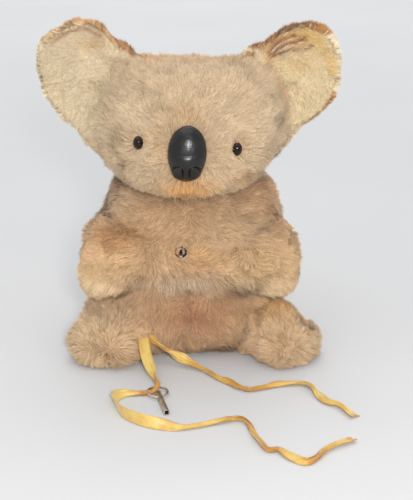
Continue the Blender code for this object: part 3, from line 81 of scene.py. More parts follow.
def area_light(name, place, aim, size, power, colour):
    """A square soft light that looks at a point."""
    data = bpy.data.lights.new(name, "AREA")
    data.size = size
    data.energy = power
    data.color = colour
    lamp = add(name, data)
    lamp.location = place
    lamp.rotation_euler = (Vector(aim) - Vector(place)).to_track_quat("-Z", "Y").to_euler()


area_light("key_light", (0.1, -1.08, 0.54), (0, 0, 0.12), 0.13, 8.6, (1.0, 0.985, 0.96))
area_light("top_light", (-0.2, -0.1, 1.9), (0, 0, 0.1), 1.6, 7.0, (1.0, 1.0, 1.0))
area_light("back_light", (0.0, 2.2, 1.9), (0.0, 1.7, 0.0), 2.6, 34.0, (1.0, 1.0, 1.0))

world = bpy.data.worlds.new("room")
world.use_nodes = True
background = world.node_tree.nodes["Background"].inputs
background["Color"].default_value = (0.93, 0.95, 1.0, 1)
background["Strength"].default_value = 0.7
bpy.context.scene.world = world


# Materials


class Look:
    """A material with a Principled shader and short calls for the nodes that feed it."""

    def __init__(self, name, roughness=0.5, metallic=0.0, **sockets):
        self.material = bpy.data.materials.new(name)
        self.material.use_nodes = True
        self.tree = self.material.node_tree
        self.shader = self.tree.nodes["Principled BSDF"]
        self.shader.inputs["Roughness"].default_value = roughness
        self.shader.inputs["Metallic"].default_value = metallic
        for socket, value in sockets.items():
            self.shader.inputs[socket.replace("_", " ")].default_value = value
        self.coords = self.node("TexCoord").outputs["Object"]

    def node(self, kind):
        return self.tree.nodes.new(f"ShaderNode{kind}")

    def link(self, source, target):
        self.tree.links.new(source, target)

    def noise(self, scale, detail=3, distortion=0, stretch=None):
        node = self.node("TexNoise")
        node.inputs["Scale"].default_value = scale
        node.inputs["Detail"].default_value = detail
        node.inputs["Distortion"].default_value = distortion
        coords = self.coords
        if stretch:
            mapping = self.node("Mapping")
            mapping.inputs["Scale"].default_value = stretch
            self.link(coords, mapping.inputs["Vector"])
            coords = mapping.outputs["Vector"]
        self.link(coords, node.inputs["Vector"])
        return node.outputs["Fac"]

    def ramp(self, value, *stops):
        node = self.node("ValToRGB")
        elements = node.color_ramp.elements
        while len(elements) < len(stops):
            elements.new(0.5)
        for element, (place, colour) in zip(elements, stops):
            element.position = place
            element.color = (*colour, 1) if hasattr(colour, "__len__") else (colour, colour, colour, 1)
        self.link(value, node.inputs["Fac"])
        return node.outputs["Color"]

    def times(self, first, second, share=1.0):
        """A colour multiplied by another, in full or in part."""
        node = self.node("Mix")
        node.data_type = "RGBA"
        node.blend_type = "MULTIPLY"
        node.inputs[0].default_value = share
        self.link(first, node.inputs[6])
        self.link(second, node.inputs[7])
        return node.outputs[2]

    def painted(self, layer):
        """The colour that paint() gave the mesh."""
        node = self.node("VertexColor")
        node.layer_name = layer
        return node.outputs["Color"]

    def colour(self, source):
        self.link(source, self.shader.inputs["Base Color"])

    def rough(self, value, low, high):
        self.link(self.ramp(value, (0.3, low), (0.7, high)), self.shader.inputs["Roughness"])

    def bump(self, value, depth, strength=0.6):
        node = self.node("Bump")
        node.inputs["Distance"].default_value = depth
        node.inputs["Strength"].default_value = strength
        self.link(value, node.inputs["Height"])
        self.link(node.outputs["Normal"], self.shader.inputs["Normal"])


def floor_look():
    look = Look("floor_paper", roughness=0.8)
    shade = look.noise(3, 2)
    look.colour(look.ramp(shade, (0.3, (0.585, 0.585, 0.58)), (0.7, (0.61, 0.61, 0.605))))
    look.bump(look.noise(900, 2), 0.0001, 0.15)
    return look.material


FLOOR_HALF = 6.0


def make_floor():
    mesh = bpy.data.meshes.new("floor")
    corners = [(x * FLOOR_HALF, y * FLOOR_HALF, 0) for x, y in ((-1, -1), (1, -1), (1, 1), (-1, 1))]
    mesh.from_pydata(corners, [], [(0, 1, 2, 3)])
    mesh.materials.append(floor_look())
    floor = add("floor", mesh)


make_floor()


# Meshes


def make_object(name, points, faces, look):
    mesh = bpy.data.meshes.new(name)
    mesh.from_pydata([tuple(p) for p in points], [], [tuple(f) for f in faces])
    mesh.shade_smooth()
    mesh.materials.append(look)
    return add(name, mesh)


def paint(mesh, layer, colours):
    """Colours at the points of a mesh, for a look that reads this layer."""
    rgba = np.ones((len(colours), 4), np.float32)
    rgba[:, :3] = colours
    mesh.color_attributes.new(layer, "FLOAT_COLOR", "POINT").data.foreach_set("color", rgba.ravel())


def mm(*places):
    """Places that are given in millimetres."""
    return np.array(places) / 1000


def unit(vectors):
    return vectors / np.maximum(np.linalg.norm(vectors, axis=-1, keepdims=True), 1e-9)


def smoothstep(x, low, high):
    t = np.clip((x - low) / (high - low), 0, 1)
    return t * t * (3 - 2 * t)


def wander(points, size, seed):
    """Smooth random vectors in space that change over about this size."""
    table = np.random.default_rng(seed).uniform(-1, 1, (16, 16, 16, 3))
    place = points / size
    cell = np.floor(place).astype(int)
    share = place - cell
    share = share * share * (3 - 2 * share)
    total = np.zeros_like(points)
    for corner in product((0, 1), repeat=3):
        weight = np.prod(np.where(corner, share, 1 - share), axis=1)
        i, j, k = ((cell + corner) % 16).T
        total += weight[:, None] * table[i, j, k]
    return total


RAY_START = 3  # times the node's own reach
PIT_ROUNDS = 40
PIT_DEPTH = 0.02  # of the node's reach: what lies deeper than its surroundings is filled
SKIN_FLOOR = 0.0012


class Skin:
    """The smooth outer surface of a CAD node that is seen whole from its middle."""

    def __init__(self, node, level, inset, waves=(), rounds=6):
        self.node = node
        source = NODES[node].data
        corners, faces = [v.co for v in source.vertices], [p.vertices for p in source.polygons]
        tree = BVHTree.FromPolygons(corners, faces)
        low, high = (np.array(corner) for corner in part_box(node))
        self.middle = (low + high) / 2
        reach = (high - low) / 2
        ball = bmesh.new()
        bmesh.ops.create_icosphere(ball, subdivisions=level, radius=1.0)
        ways = np.array([v.co for v in ball.verts]) * reach
        self.faces = np.array([[v.index for v in f.verts] for f in ball.faces])
        self.edges = np.array([[v.index for v in e.verts] for e in ball.edges])
        ball.free()
        share = np.zeros(len(ways))
        for i, way in enumerate(ways):
            hit = tree.ray_cast(Vector(self.middle + RAY_START * way), Vector(-way).normalized())
            if hit[0] is not None:
                share[i] = RAY_START - hit[3] / np.linalg.norm(way)
        for _ in range(PIT_ROUNDS):
            mean = self.mean(share)
            share = np.where(share < mean - PIT_DEPTH, mean, share)
        for _ in range(rounds):
            share = 0.4 * share + 0.6 * self.mean(share)
        self.points = self.middle + ways * share[:, None]
        self.points -= inset * self.normals()
        self.surface = None
        for size, height, seed in waves:
            self.points += height * wander(self.points, size, seed)[:, :1] * self.normals()

    def mean(self, values):
        a, b = self.edges.T
        count = len(values)
        total = np.bincount(a, values[b], count) + np.bincount(b, values[a], count)
        return total / (np.bincount(a, minlength=count) + np.bincount(b, minlength=count))

    def normals(self):
        a, b, c = self.points[self.faces.T]
        flat = np.cross(b - a, c - a)
        count = len(self.points)
        total = [sum(np.bincount(corner, part, count) for corner in self.faces.T) for part in flat.T]
        return unit(np.stack(total, axis=1))

    def tree(self):
        return BVHTree.FromPolygons([Vector(p) for p in self.points], self.faces.tolist())

    def gap(self, points):
        """How far points lie outside this skin, less than 0 inside it."""
        return self.meet(points)[:, 0]

    def meet(self, points):
        """The gap to each point, and this skin's normal at the nearest place."""
        if self.surface is None:
            self.surface = self.tree()
        found = np.zeros((len(points), 4))
        for i, point in enumerate(points):
            spot, normal, _, gap = self.surface.find_nearest(point)
            found[i] = (math.copysign(gap, (Vector(point) - spot).dot(normal)), *normal)
        return found

    def raise_by(self, lift):
        """Moves the surface out along its normals, but not through the floor."""
        self.points += lift[:, None] * self.normals()
        self.points[:, 2] = np.maximum(self.points[:, 2], SKIN_FLOOR)
        self.surface = None

    def build(self, look, body):
        node = self.node
        thing = make_object(f"{node}_hide", self.points, self.faces, look)
        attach(thing, body)
        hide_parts(node)
        return thing


# Plush pile

ATLAS = 256  # strands along each side of the OFBake map
STRAND_WIDTH = 0.00036
ROOT_DEPTH = 0.0004
LEAN_LIMITS = (0.15, 1.38)
TIP_FLOOR = (0.0002, 0.0012)
ROOT_TINT = np.array([0.74, 0.66, 0.58])
TIP_TINT = np.array([1.07, 1.08, 1.1])


def nearest(spots, points):
    """Number of the spot that is nearest to each point."""
    tree = KDTree(len(spots))
    for i, spot in enumerate(spots):
        tree.insert(spot, i)
    tree.balance()
    return np.fromiter((tree.find(point)[1] for point in points), int, len(points))


def pile_look(name, roughness=0.8):
    look = Look(name, roughness=roughness, Sheen_Weight=0.25, Sheen_Roughness=0.5)
    look.shader.inputs["Sheen Tint"].default_value = (1.0, 0.93, 0.82, 1)
    look.shader.inputs["Specular IOR Level"].default_value = 0.3
    speck = look.ramp(look.noise(700, 2), (0.35, (0.8, 0.78, 0.76)), (0.65, (1.0, 1.0, 1.0)))
    look.colour(look.times(look.painted("pile"), speck))
    return look.material


@dataclass
class Pile:
    """Strands of plush on a skin: thin blades that lean, gathered in fine tufts and those in locks."""

    skin: Skin
    seed: int
    comb: callable
    colour: callable
    mask: callable
    length: float
    lean: float
    lock: float = 0.005
    tuft: float = 0.0019
    reach: callable = None
    ruffle: float = 0.6
    calm: float = 1.0
    pull: tuple = (0.34, 0.7)

    def __post_init__(self):
        self.rng = np.random.default_rng(self.seed)
        self.normals = self.skin.normals()
        a, b, c = self.skin.points[self.skin.faces.T]
        flat = np.cross(b - a, c - a)
        self.weights = np.linalg.norm(flat, axis=1) / 2 * self.mask((a + b + c) / 3, unit(flat))

    def scatter(self, count):
        chosen = self.rng.choice(len(self.weights), count, p=self.weights / self.weights.sum())
        corners = self.skin.faces[chosen]
        u, v = self.rng.random((2, count))
        fold = u + v > 1
        u, v = np.where(fold, 1 - u, u), np.where(fold, 1 - v, v)
        share = np.stack([1 - u - v, u, v], axis=1)[:, :, None]
        return (self.skin.points[corners] * share).sum(1), unit((self.normals[corners] * share).sum(1))

    def tier(self, count, scatter, parent=None, pull=0.0):
        """Points, normals, rows and tone of locks, tufts or strands. A row is root, middle and tip."""
        points, normals = self.scatter(count)
        flow = unit(self.comb(points))
        for size, share, number in ((0.024, 1.0, 0), (0.009, 0.7, 1)):
            flow = flow + share * self.ruffle * wander(points, size, self.seed + number)
        flow += scatter * self.rng.normal(size=points.shape)
        flow -= (flow * normals).sum(1, keepdims=True) * normals
        flow = unit(flow)
        lean = self.lean + 0.26 * wander(points, 0.01, self.seed + 2)[:, 0]
        lean = np.clip(lean + scatter * self.rng.normal(size=count), *LEAN_LIMITS)
        length = self.length * (1 + 0.34 * wander(points, 0.01, self.seed + 3)[:, 0])
        length = length * self.rng.uniform(0.8, 1.12, count) * (self.reach(points) if self.reach else 1)
        up = normals * (length * np.cos(lean))[:, None]
        along = flow * (length * np.sin(lean))[:, None]
        root, middle = points - ROOT_DEPTH * normals, points + 0.64 * up + 0.4 * along
        rows = np.stack([root, middle, points + up + along], axis=1)
        tone = self.rng.normal(0, 1, count)
        if parent:
            roots, _, parent_rows, parent_tone = parent
            owner = nearest(roots, points)
            share = (pull * self.rng.uniform(0.6, 1.15, count))[:, None]
            rows[:, 1] += 0.45 * share * (parent_rows[owner, 1] - rows[:, 1])
            rows[:, 2] += share * (parent_rows[owner, 2] - rows[:, 2])
            tone = 0.75 * parent_tone[owner] + 0.65 * tone
        return points, normals, rows, tone

    def grow(self, count, width):
        """Blades, their normals and colours, and the points that they stand on."""
        area = self.weights.sum()
        locks = self.tier(max(int(area / self.lock**2), 20), 0.24)
        tufts = self.tier(max(int(area / self.tuft**2), 60), 0.2, locks, self.pull[0])
        points, normals, rows, tone = self.tier(count, 0.3 * self.calm, tufts, self.pull[1])
        root, middle, tip = rows.transpose(1, 0, 2)
        way = unit(tip - root)
        side = unit(np.cross(way, normals))
        turn = self.rng.normal(0, 0.5, count)[:, None]
        side = side * np.cos(turn) + np.cross(way, side) * np.sin(turn)
        side = np.where((np.cross(side, way) * normals).sum(1, keepdims=True) < 0, -side, side)
        half = side * (width / 2 * self.rng.uniform(0.7, 1.25, count))[:, None]
        corners = [root - half, root + half, middle + 0.9 * half, middle - 0.9 * half, tip]
        blade = np.stack(corners, axis=1)
        blade[:, :, 2] = np.maximum(blade[:, :, 2], self.rng.uniform(*TIP_FLOOR, count)[:, None])
        shade = unit(normals - (normals * way).sum(1, keepdims=True) * way)
        bent = unit(0.45 * shade + 0.55 * normals)
        tone = 1 + self.calm * (0.085 * tone + 0.07 * self.rng.normal(0, 1, count))
        base = self.colour(points, normals) * np.clip(tone, 0.6, 1.4)[:, None]
        tints = (ROOT_TINT, ROOT_TINT, 0.96, 0.96, TIP_TINT)
        ends = np.stack([tint * base for tint in tints], axis=1)
        return blade, bent, np.clip(ends, 0, 1), points

    def build(self, count, look, body, pieces=1, width=STRAND_WIDTH):
        """The pile as one object, or as several from front to back."""
        blade, bent, ends, points = self.grow(count, width)
        order = np.argsort(points[:, 1], kind="stable")
        made = []
        for number, part in enumerate(np.array_split(order, pieces)):
            label = f"{self.skin.node}_fur" + (f"_{number + 1}" if pieces > 1 else "")
            made.append(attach(self.piece(label, blade[part], bent[part], ends[part], look), body))
        return made

    def piece(self, name, blade, bent, ends, look):
        """An object of blades: each a quad with a triangle on top, at its own place on the map."""
        count = len(blade)
        order = np.lexsort((blade[:, 0, 0], np.round(blade[:, 0, 2] / 0.002)))
        blade, bent, ends = blade[order], bent[order], ends[order]
        mesh = bpy.data.meshes.new(name)
        mesh.vertices.add(5 * count)
        mesh.vertices.foreach_set("co", blade.astype(np.float32).ravel())
        corners = (np.arange(count)[:, None] * 5 + np.array([0, 1, 2, 3, 3, 2, 4])).ravel()
        mesh.loops.add(7 * count)
        mesh.loops.foreach_set("vertex_index", corners.astype(np.int32))
        mesh.polygons.add(2 * count)
        starts = (np.arange(count)[:, None] * 7 + np.array([0, 4])).ravel()
        mesh.polygons.foreach_set("loop_start", starts.astype(np.int32))
        mesh.update(calc_edges=True)
        mesh.shade_smooth()
        paint(mesh, "pile", ends.reshape(-1, 3))
        free = mesh.attributes.new("custom_normal", "FLOAT_VECTOR", "POINT")
        free.data.foreach_set("vector", np.repeat(bent, 5, axis=0).astype(np.float32).ravel())
        cell = np.arange(count)
        origin = np.stack([cell % ATLAS, cell // ATLAS], axis=1)[:, None]
        quad, point = [[0.2, 0.2], [0.8, 0.2], [0.8, 0.5], [0.2, 0.5]], [0.5, 0.8]
        spots = np.array([*quad, quad[3], quad[2], point])
        flat = mesh.uv_layers.new(name="OFBake")
        flat.data.foreach_set("uv", ((origin + spots) / ATLAS).astype(np.float32).ravel())
        mesh.materials.append(look)
        return add(name, mesh)


def srgb(red, green, blue):
    """A colour as it is seen on a screen, from 0 to 255, in linear light."""
    value = np.array([red, green, blue]) / 255
    return np.where(value <= 0.04045, value / 12.92, ((value + 0.055) / 1.055) ** 2.4)


def beside(points, route):
    """Distance from a line of places, all measured in X and Z as seen from the front."""
    spots = points[:, [0, 2]]
    least = np.full(len(points), np.inf)
    for start, end in zip(route, route[1:]):
        run = end - start
        share = np.clip((spots - start) @ run / (run @ run), 0, 1)
        least = np.minimum(least, np.linalg.norm(spots - start - share[:, None] * run, axis=1))
    return least


def bell(distance, size):
    return np.exp(-((distance / size) ** 2))


BACK = 0.03  # lines are painted on what lies in front of this


def stained(base, *blobs, lines=(), mottle=0.1, seed=0):
    """A colour over a surface: a base, soft patches at (place, radius, colour, strength) with the first
    two in millimetres, and thin lines on the front at (route, radius, colour, strength)."""

    def colour(points, normals):
        total = np.tile(base, (len(points), 1))
        shift = 0.25 * wander(points, 0.015, seed + 50)
        for place, radius, tint, strength in blobs:
            reach = (points - mm(*place)) / mm(*radius) + shift
            share = strength * np.exp(-1.5 * (reach**2).sum(1))[:, None]
            total = total + share * (tint - total)
        for route, radius, tint, strength in lines:
            share = strength * bell(beside(points, route), radius)[:, None] * (points[:, 1:2] < BACK)
            total = total + share * (tint - total)
        cloud = wander(points, 0.012, seed + 51)[:, :1] + 0.6 * wander(points, 0.035, seed + 52)[:, :1]
        return total * (1 + mottle * cloud)

    return colour


def with_crease_shade(colour, *others):
    """A colour with painted shade in the creases beside other skins: (skin, lowest, highest, strength).
    """

    def tinted(points, normals):
        total = colour(points, normals)
        for skin, low, high, strength in others:
            close = np.flatnonzero((points[:, 2] > low) & (points[:, 2] < high) & (points[:, 1] < 0))
            if len(close):
                # painted shade: darker the closer the point lies to the other skin
                depth = strength * bell(skin.gap(points[close]), 0.0042)
                if skin in (head, torso):
                    depth *= 1.25 - 0.8 * smoothstep(points[close, 0], 0.005, 0.03)
                total[close] *= 1 - depth[:, None] * (1, 1.05, 1.1)
        return total

    return tinted


def hide_look(name, dark, light):
    """The matted underlayer that shows between the locks."""
    look = Look(name, roughness=0.95, Sheen_Weight=0.3)
    streak = look.noise(260, 4, 0.8)
    patch = look.noise(35, 2)
    tone = look.ramp(streak, (0.35, dark), (0.65, light))
    look.colour(look.times(tone, look.ramp(patch, (0.3, 0.6), (0.7, 1.0)), 0.5))
    look.bump(streak, 0.0015, 0.8)
    return look.material


# Facts of the toy that the looks share with its source

NOSE_MIDDLE = mm(1.2, -76, 181)
ARM_CORNER = mm(-80, -35, 112)
STEM = np.array([-0.0046, -0.0641, 0.0986])
FOLDS_MIDDLE = mm(80, 0, 252)
FOLDS_ROOT = mm(56, 0, 238)


def away(points, place, scale=1.0):
    """Distance from a place, with a scale for each axis."""
    return np.linalg.norm((points - place) / scale, axis=1)


def near(points, place, radius, soft):
    """1 near a place and 0 beyond it."""
    return 1 - smoothstep(away(points, place), radius, radius + soft)


def soften(first, second, radius, share=None):
    """Lifts of two skins that carry both onto one smooth surface where they cross at an angle."""
    lifts = []
    for skin, other in ((first, second), (second, first)):
        low, high = other.points.min(0) - radius, other.points.max(0) + radius
        close = np.flatnonzero(np.all((skin.points > low) & (skin.points < high), axis=1))
        ways = skin.normals()
        found = other.meet(skin.points[close])
        bend = np.zeros(len(skin.points))
        bend[close] = 1 - (ways[close] * found[:, 1:]).sum(1)
        for _ in range(6):
            bend = skin.mean(bend)
        held = (found[:, 0] > -0.006) & (found[:, 0] < radius)
        close, start = close[held], found[held, 0]
        size = radius * np.clip(1.3 * bend[close] - 0.08, 0.02, 1)
        rise, gap = np.zeros(len(close)), start
        for _ in range(4):
            overlap = np.clip(size - np.abs(rise - gap), 0, None)
            joined = np.minimum(rise, gap) - overlap**2 / (4 * size)
            rise = np.clip(rise - joined, 0, size / 3)
            gap = other.gap(skin.points[close] + rise[:, None] * ways[close])
        lift = np.zeros(len(skin.points))
        lift[close] = rise * smoothstep(start, -0.006, -0.001)
        for _ in range(3):
            lift = skin.mean(lift)
        lifts.append(lift * share(skin.points) if share else lift)
    return lifts


COVERED = 0.0015  # how deep in another skin a point is taken as covered


def outside(points, *skins):
    """1 at each point, and 0 where it is covered by other skins."""
    kept = np.ones(len(points))
    for skin in skins:
        middle, tree = Vector(skin.middle), skin.tree()
        for i, point in enumerate(points):
            way = Vector(point) - middle
            hit = tree.ray_cast(middle, way.normalized())
            if hit[0] is not None and way.length < hit[3] - COVERED:
                spot, normal, _, gap = tree.find_nearest(point)
                kept[i] = gap < COVERED or (Vector(point) - spot).dot(normal) > 0
    return kept


WAVES = ((0.03, 0.001, 11), (0.009, 0.0008, 12), (0.004, 0.0003, 13))
LUMPS = (0.018, 0.002, 14)
INSET = 0.0034
SIDES = (("left", -1), ("right", 1))
EYES = {side: np.array(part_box(f"eye_{side}")).mean(0) for side, _ in SIDES}
EAR_BAND = mm((-94, 273), (-84, 276), (-72, 273.5), (-54, 258), (-36, 240))
LEFT_EAR_TOP = mm((-113, 256), (-104, 266.5), (-92, 272))
LEFT_EAR_CREASE = mm((-64, 240), (-69, 228), (-74, 214), (-76, 200), (-74, 188))
LEFT_EAR_SEAM = mm((-106.8, 252.7), (-102, 257.5), (-89.3, 264), (-79.3, 264), (-66.7, 257))
RIGHT_EAR_TOP = mm((59, 250), (69, 261.4), (78, 268.5), (90, 273), (102, 271.3), (110, 266))
RIGHT_EAR_FOOT = mm((119, 206.9), (110.6, 197.4), (102.6, 189.6), (96, 181))
RIGHT_EAR_FOLDS = mm(
    ((64.5, 243.5), (70.5, 250.5), (79, 257.5), (85, 260.5)),
    ((65.5, 242.5), (76.5, 250), (86, 255.5), (93, 259)),
    ((66.5, 241.5), (79.5, 246), (92, 250), (98.5, 252)),
)
# painted highlights: thin near-white lines on the glossy matted folds of the right ear
RIGHT_EAR_GLINTS = mm(
    ((66.5, 244.5), (74.5, 252), (83.5, 257.8)), ((70, 244), (81, 251), (90, 256)),
    ((75, 243.5), (86.5, 247.5), (96, 252.5)),
)
RIGHT_EAR_ARC = mm((78.2, 265.6), (91, 265.6), (104.1, 257.5), (112.6, 244.5), (116.3, 231.3))
RIGHT_EAR_CREASE = mm((59.5, 254), (64.5, 238.1), (67, 230), (71.2, 217), (81.2, 197.3))
CHIN_CREASE = mm((-47.8, 151), (-42.9, 148.5), (-29.4, 142), (-13.4, 138.5), (14.7, 138))
LEFT_PAW_SEAM = mm((-86.2, 100), (-85, 88), (-83.5, 71.7))
RIGHT_PAW_SLIT = mm((80.5, 102), (82.6, 96.6))
RIGHT_FOOT_SLIT = mm((93.5, 34), (99.6, 26.8))
SLITS = (RIGHT_PAW_SLIT, RIGHT_FOOT_SLIT)
LEFT_ARM_CREASE = mm((-68, 61), (-56, 60.5), (-45, 64), (-37, 69))
RIGHT_ARM_CREASE = mm((30, 66.5), (40, 62.5), (54, 60), (74, 58.5))
RIGHT_LEG_SEAM = mm((73.1, 57.4), (66.6, 48.4), (63.5, 39.4), (62, 28.5))

torso = Skin("torso", 6, INSET, WAVES)
head = Skin("head", 6, INSET, WAVES)
arms = {side: Skin(f"arm_{side}", 5, INSET, WAVES) for side, _ in SIDES}
legs = {side: Skin(f"leg_{side}", 6, INSET, (LUMPS, *WAVES)) for side, _ in SIDES}
shells = {side: Skin(f"ear_shell_{side}", 5, 0.002, WAVES[1:], rounds=2) for side, _ in SIDES}
linings = {side: Skin(f"ear_lining_{side}", 6, -0.0004, WAVES[1:]) for side, _ in SIDES}


def high_up(points):
    """Where an arm is joined: it runs into the chest above, and overhangs the belly below."""
    return smoothstep(points[:, 2], 0.056, 0.082)


def soften_all():
    lifts = {}
    joins = [(head, shells[side], 0.036, None) for side, _ in SIDES]
    joins += [(head, linings[side], 0.034, None) for side, _ in SIDES]
    joins += [(torso, arms[side], 0.044, high_up) for side, _ in SIDES]
    joins += [(torso, legs["left"], 0.028, None), (torso, legs["right"], 0.014, None)]
    for first, second, radius, share in joins:
        for skin, lift in zip((first, second), soften(first, second, radius, share)):
            lifts[skin] = np.maximum(lifts.get(skin, 0), lift)
    x, y, z = head.points.T
    for eye in EYES.values():
        gap = np.hypot(x - eye[0], z - eye[2])
        lifts[head] = lifts[head] + 0.0026 * (bell(gap, 0.01) - bell(gap, 0.005)) * (y < 0)
    chin = away(head.points, (0.0, -0.04, 0.15), (0.045, 0.03, 0.014))
    lifts[head] = lifts[head] + 0.0034 * bell(chin, 1.0) + 0.001 * (1 - smoothstep(z, 0.146, 0.16))
    lifts[torso] = lifts[torso] + 0.0028 * smoothstep(torso.points[:, 2], 0.122, 0.14)
    armpit = bell(away(arms["left"].points, ARM_CORNER), 0.02)
    lifts[arms["left"]] = lifts[arms["left"]] - 0.0065 * armpit
    for skin, lift in lifts.items():
        skin.raise_by(lift)


soften_all()
for limb, route in ((arms["right"], RIGHT_PAW_SLIT), (legs["right"], RIGHT_FOOT_SLIT)):
    limb.raise_by(-0.0045 * bell(beside(limb.points, route), 0.0013) * (limb.points[:, 1] < -0.01))
folds = linings["right"].points
crease = sum(bell(beside(folds, route), 0.0022) for route in RIGHT_EAR_FOLDS)
swell = sum(bell(beside(folds, route), 0.005) for route in RIGHT_EAR_FOLDS)
arc = bell(beside(folds, RIGHT_EAR_ARC), 0.003)
linings["right"].raise_by(0.0008 * swell - 0.0012 * crease + 0.0012 * arc)
linings["left"].raise_by(-0.0016 * bell(beside(linings["left"].points, LEFT_EAR_SEAM), 0.0016))

TAN_HIDE = hide_look("fur_tan_hide", srgb(176, 142, 106), srgb(216, 184, 142))
PALE_HIDE = hide_look("ear_hide", srgb(196, 170, 132), srgb(226, 206, 168))


def cloth_look():
    """The worn cloth of the ears, painted where its colour changes."""
    look = Look("ear_cloth", roughness=0.5)
    streak = look.noise(520, 4, 0.6)
    look.colour(look.times(look.painted("pile"), look.ramp(streak, (0.35, 0.86), (0.62, 1.0))))
    look.bump(streak, 0.00015, 0.5)
    return look.material


EAR_CLOTH = cloth_look()

torso.build(TAN_HIDE, "body")
head.build(TAN_HIDE, "turning_head")
for side, _ in SIDES:
    arms[side].build(TAN_HIDE, "body")
    legs[side].build(TAN_HIDE, "body")
    shells[side].build(PALE_HIDE, "turning_head")

FUR = pile_look("fur_pile")
EAR_PLUSH = pile_look("ear_pile", roughness=0.7)
GAIN = 1.15


def hue(red, green, blue):
    """A colour of the pile, brighter by what the shade between its strands takes away."""
    return GAIN * srgb(red, green, blue)


CREAM = hue(224, 204, 170)
TAN = hue(212, 186, 150)
SAND = hue(212, 180, 134)
OCHRE = hue(206, 158, 100)
RUST = hue(194, 142, 90)
PINK = hue(200, 164, 128)
BROWN = hue(176, 126, 92)
UMBER = hue(150, 100, 60)
GREY = hue(198, 178, 148)
DARK = hue(112, 84, 64)
GOLD = hue(216, 180, 110)


def comb_head(points):
    """Away from the nose, and parted round each eye."""
    flow = points - NOSE_MIDDLE
    flow[:, 2] -= 0.02 * smoothstep(points[:, 1], -0.03, 0.04)
    flow = unit(flow)
    for eye in EYES.values():
        way = (points - eye) * (1.3, 0.2, 1.0)
        flow += 2.2 * bell(np.linalg.norm(way, axis=1), 0.0085)[:, None] * unit(way)
    return flow


head_colour = stained(
    0.92 * GAIN * srgb(210, 185, 152),
    ((0, -60, 235), (60, 50, 30), CREAM, 0.15),
    ((-46, -55, 215), (30, 30, 30), CREAM, 0.5),
    ((-48, -55, 180), (30, 30, 40), GREY, 0.3),
    ((45, -55, 190), (30, 30, 40), CREAM, 0.2),
    # painted light: a lighter patch on the head's left side by the ear, where the surface turns away from
    # the lamps
    ((-74, -45, 205), (18, 40, 28), hue(232, 212, 176), 0.8),
    ((74, -45, 205), (14, 40, 28), CREAM, 0.6),
    ((2, -70, 208), (16, 20, 10), OCHRE, 0.6),
    ((-18, -70, 186), (10, 20, 18), SAND, 0.5),
    ((3, -65, 152), (26, 20, 13), hue(210, 154, 88), 0.95),
    ((-4, -60, 146), (14, 20, 7), RUST, 0.6),
    ((44, -55, 158), (10, 20, 8), RUST, 0.5),
    ((-10, 12, 243), (46, 20, 10), RUST, 0.9),
    ((0, 50, 200), (70, 40, 60), OCHRE, 0.5),
    lines=(
        # painted light: the cream line along the left ear's crease; painted shade: the rust line along
        # the right ear's crease
        (LEFT_EAR_CREASE, 0.011, hue(234, 214, 176), 0.75), (RIGHT_EAR_CREASE, 0.0022, RUST, 0.4),
    ),
)


def head_mask(points, normals):
    clear = 1 - near(points, NOSE_MIDDLE + (0, 0.01, 0.004), 0.0115, 0.003)
    clear *= 1 - near(points, NOSE_MIDDLE + (0, 0.01, -0.01), 0.01, 0.003)
    for eye in EYES.values():
        x, y, z = ((points - eye) / (0.0034 if eye[0] < 0 else 0.0026, 0.02, 0.006)).T
        outward = 0.25 * np.sign(eye[0])
        clear *= smoothstep(np.hypot(x - outward - 0.3 * z * (eye[0] > 0), z), 0.85, 1.1)
    return clear * outside(points, *shells.values(), *linings.values())


def head_reach(points):
    """Longer pile over the top of the head and a little below the chin, and shorter round the eyes."""
    chin = bell(away(points, (0.0, -0.045, 0.15), (0.06, 0.03, 0.012)), 1.0)
    top = bell(away(points, (-0.02, 0.01, 0.24), (0.06, 0.025, 0.012)), 1.0)
    lids = sum(bell(away(points, eye), 0.0075) for eye in EYES.values())
    return (1 + 0.05 * chin + 0.25 * top) * (1 - 0.5 * lids)


# painted shade on the head's pile below the chin, where it meets the torso
shaded_head = with_crease_shade(head_colour, (torso, 0.12, 0.158, 0.75))
Pile(head, 101, comb_head, shaded_head, head_mask, 0.0088, 0.98, reach=head_reach).build(
    130000, FUR, "turning_head", 2
)


def comb_body(points):
    """Across the chest, down over the belly, out along the arms and forwards along the legs."""
    x, y, z = points.T
    flow = np.zeros_like(points)
    flow[:, 0] = 1.1 * np.clip((x - STEM[0]) / 0.03, -1, 1)
    flow[:, 2] = -0.55 - 0.7 * smoothstep(0.075 - z, -0.01, 0.012)
    flow[:, 1] = 0.25 * smoothstep(-y, -0.05, 0.05)
    around = np.stack([STEM[2] - z, 0 * x, x - STEM[0]], axis=1)
    share = near(points, STEM, 0.008, 0.03)[:, None]
    flow = flow * (1 - 0.6 * share) + 0.9 * share * unit(around)
    return flow


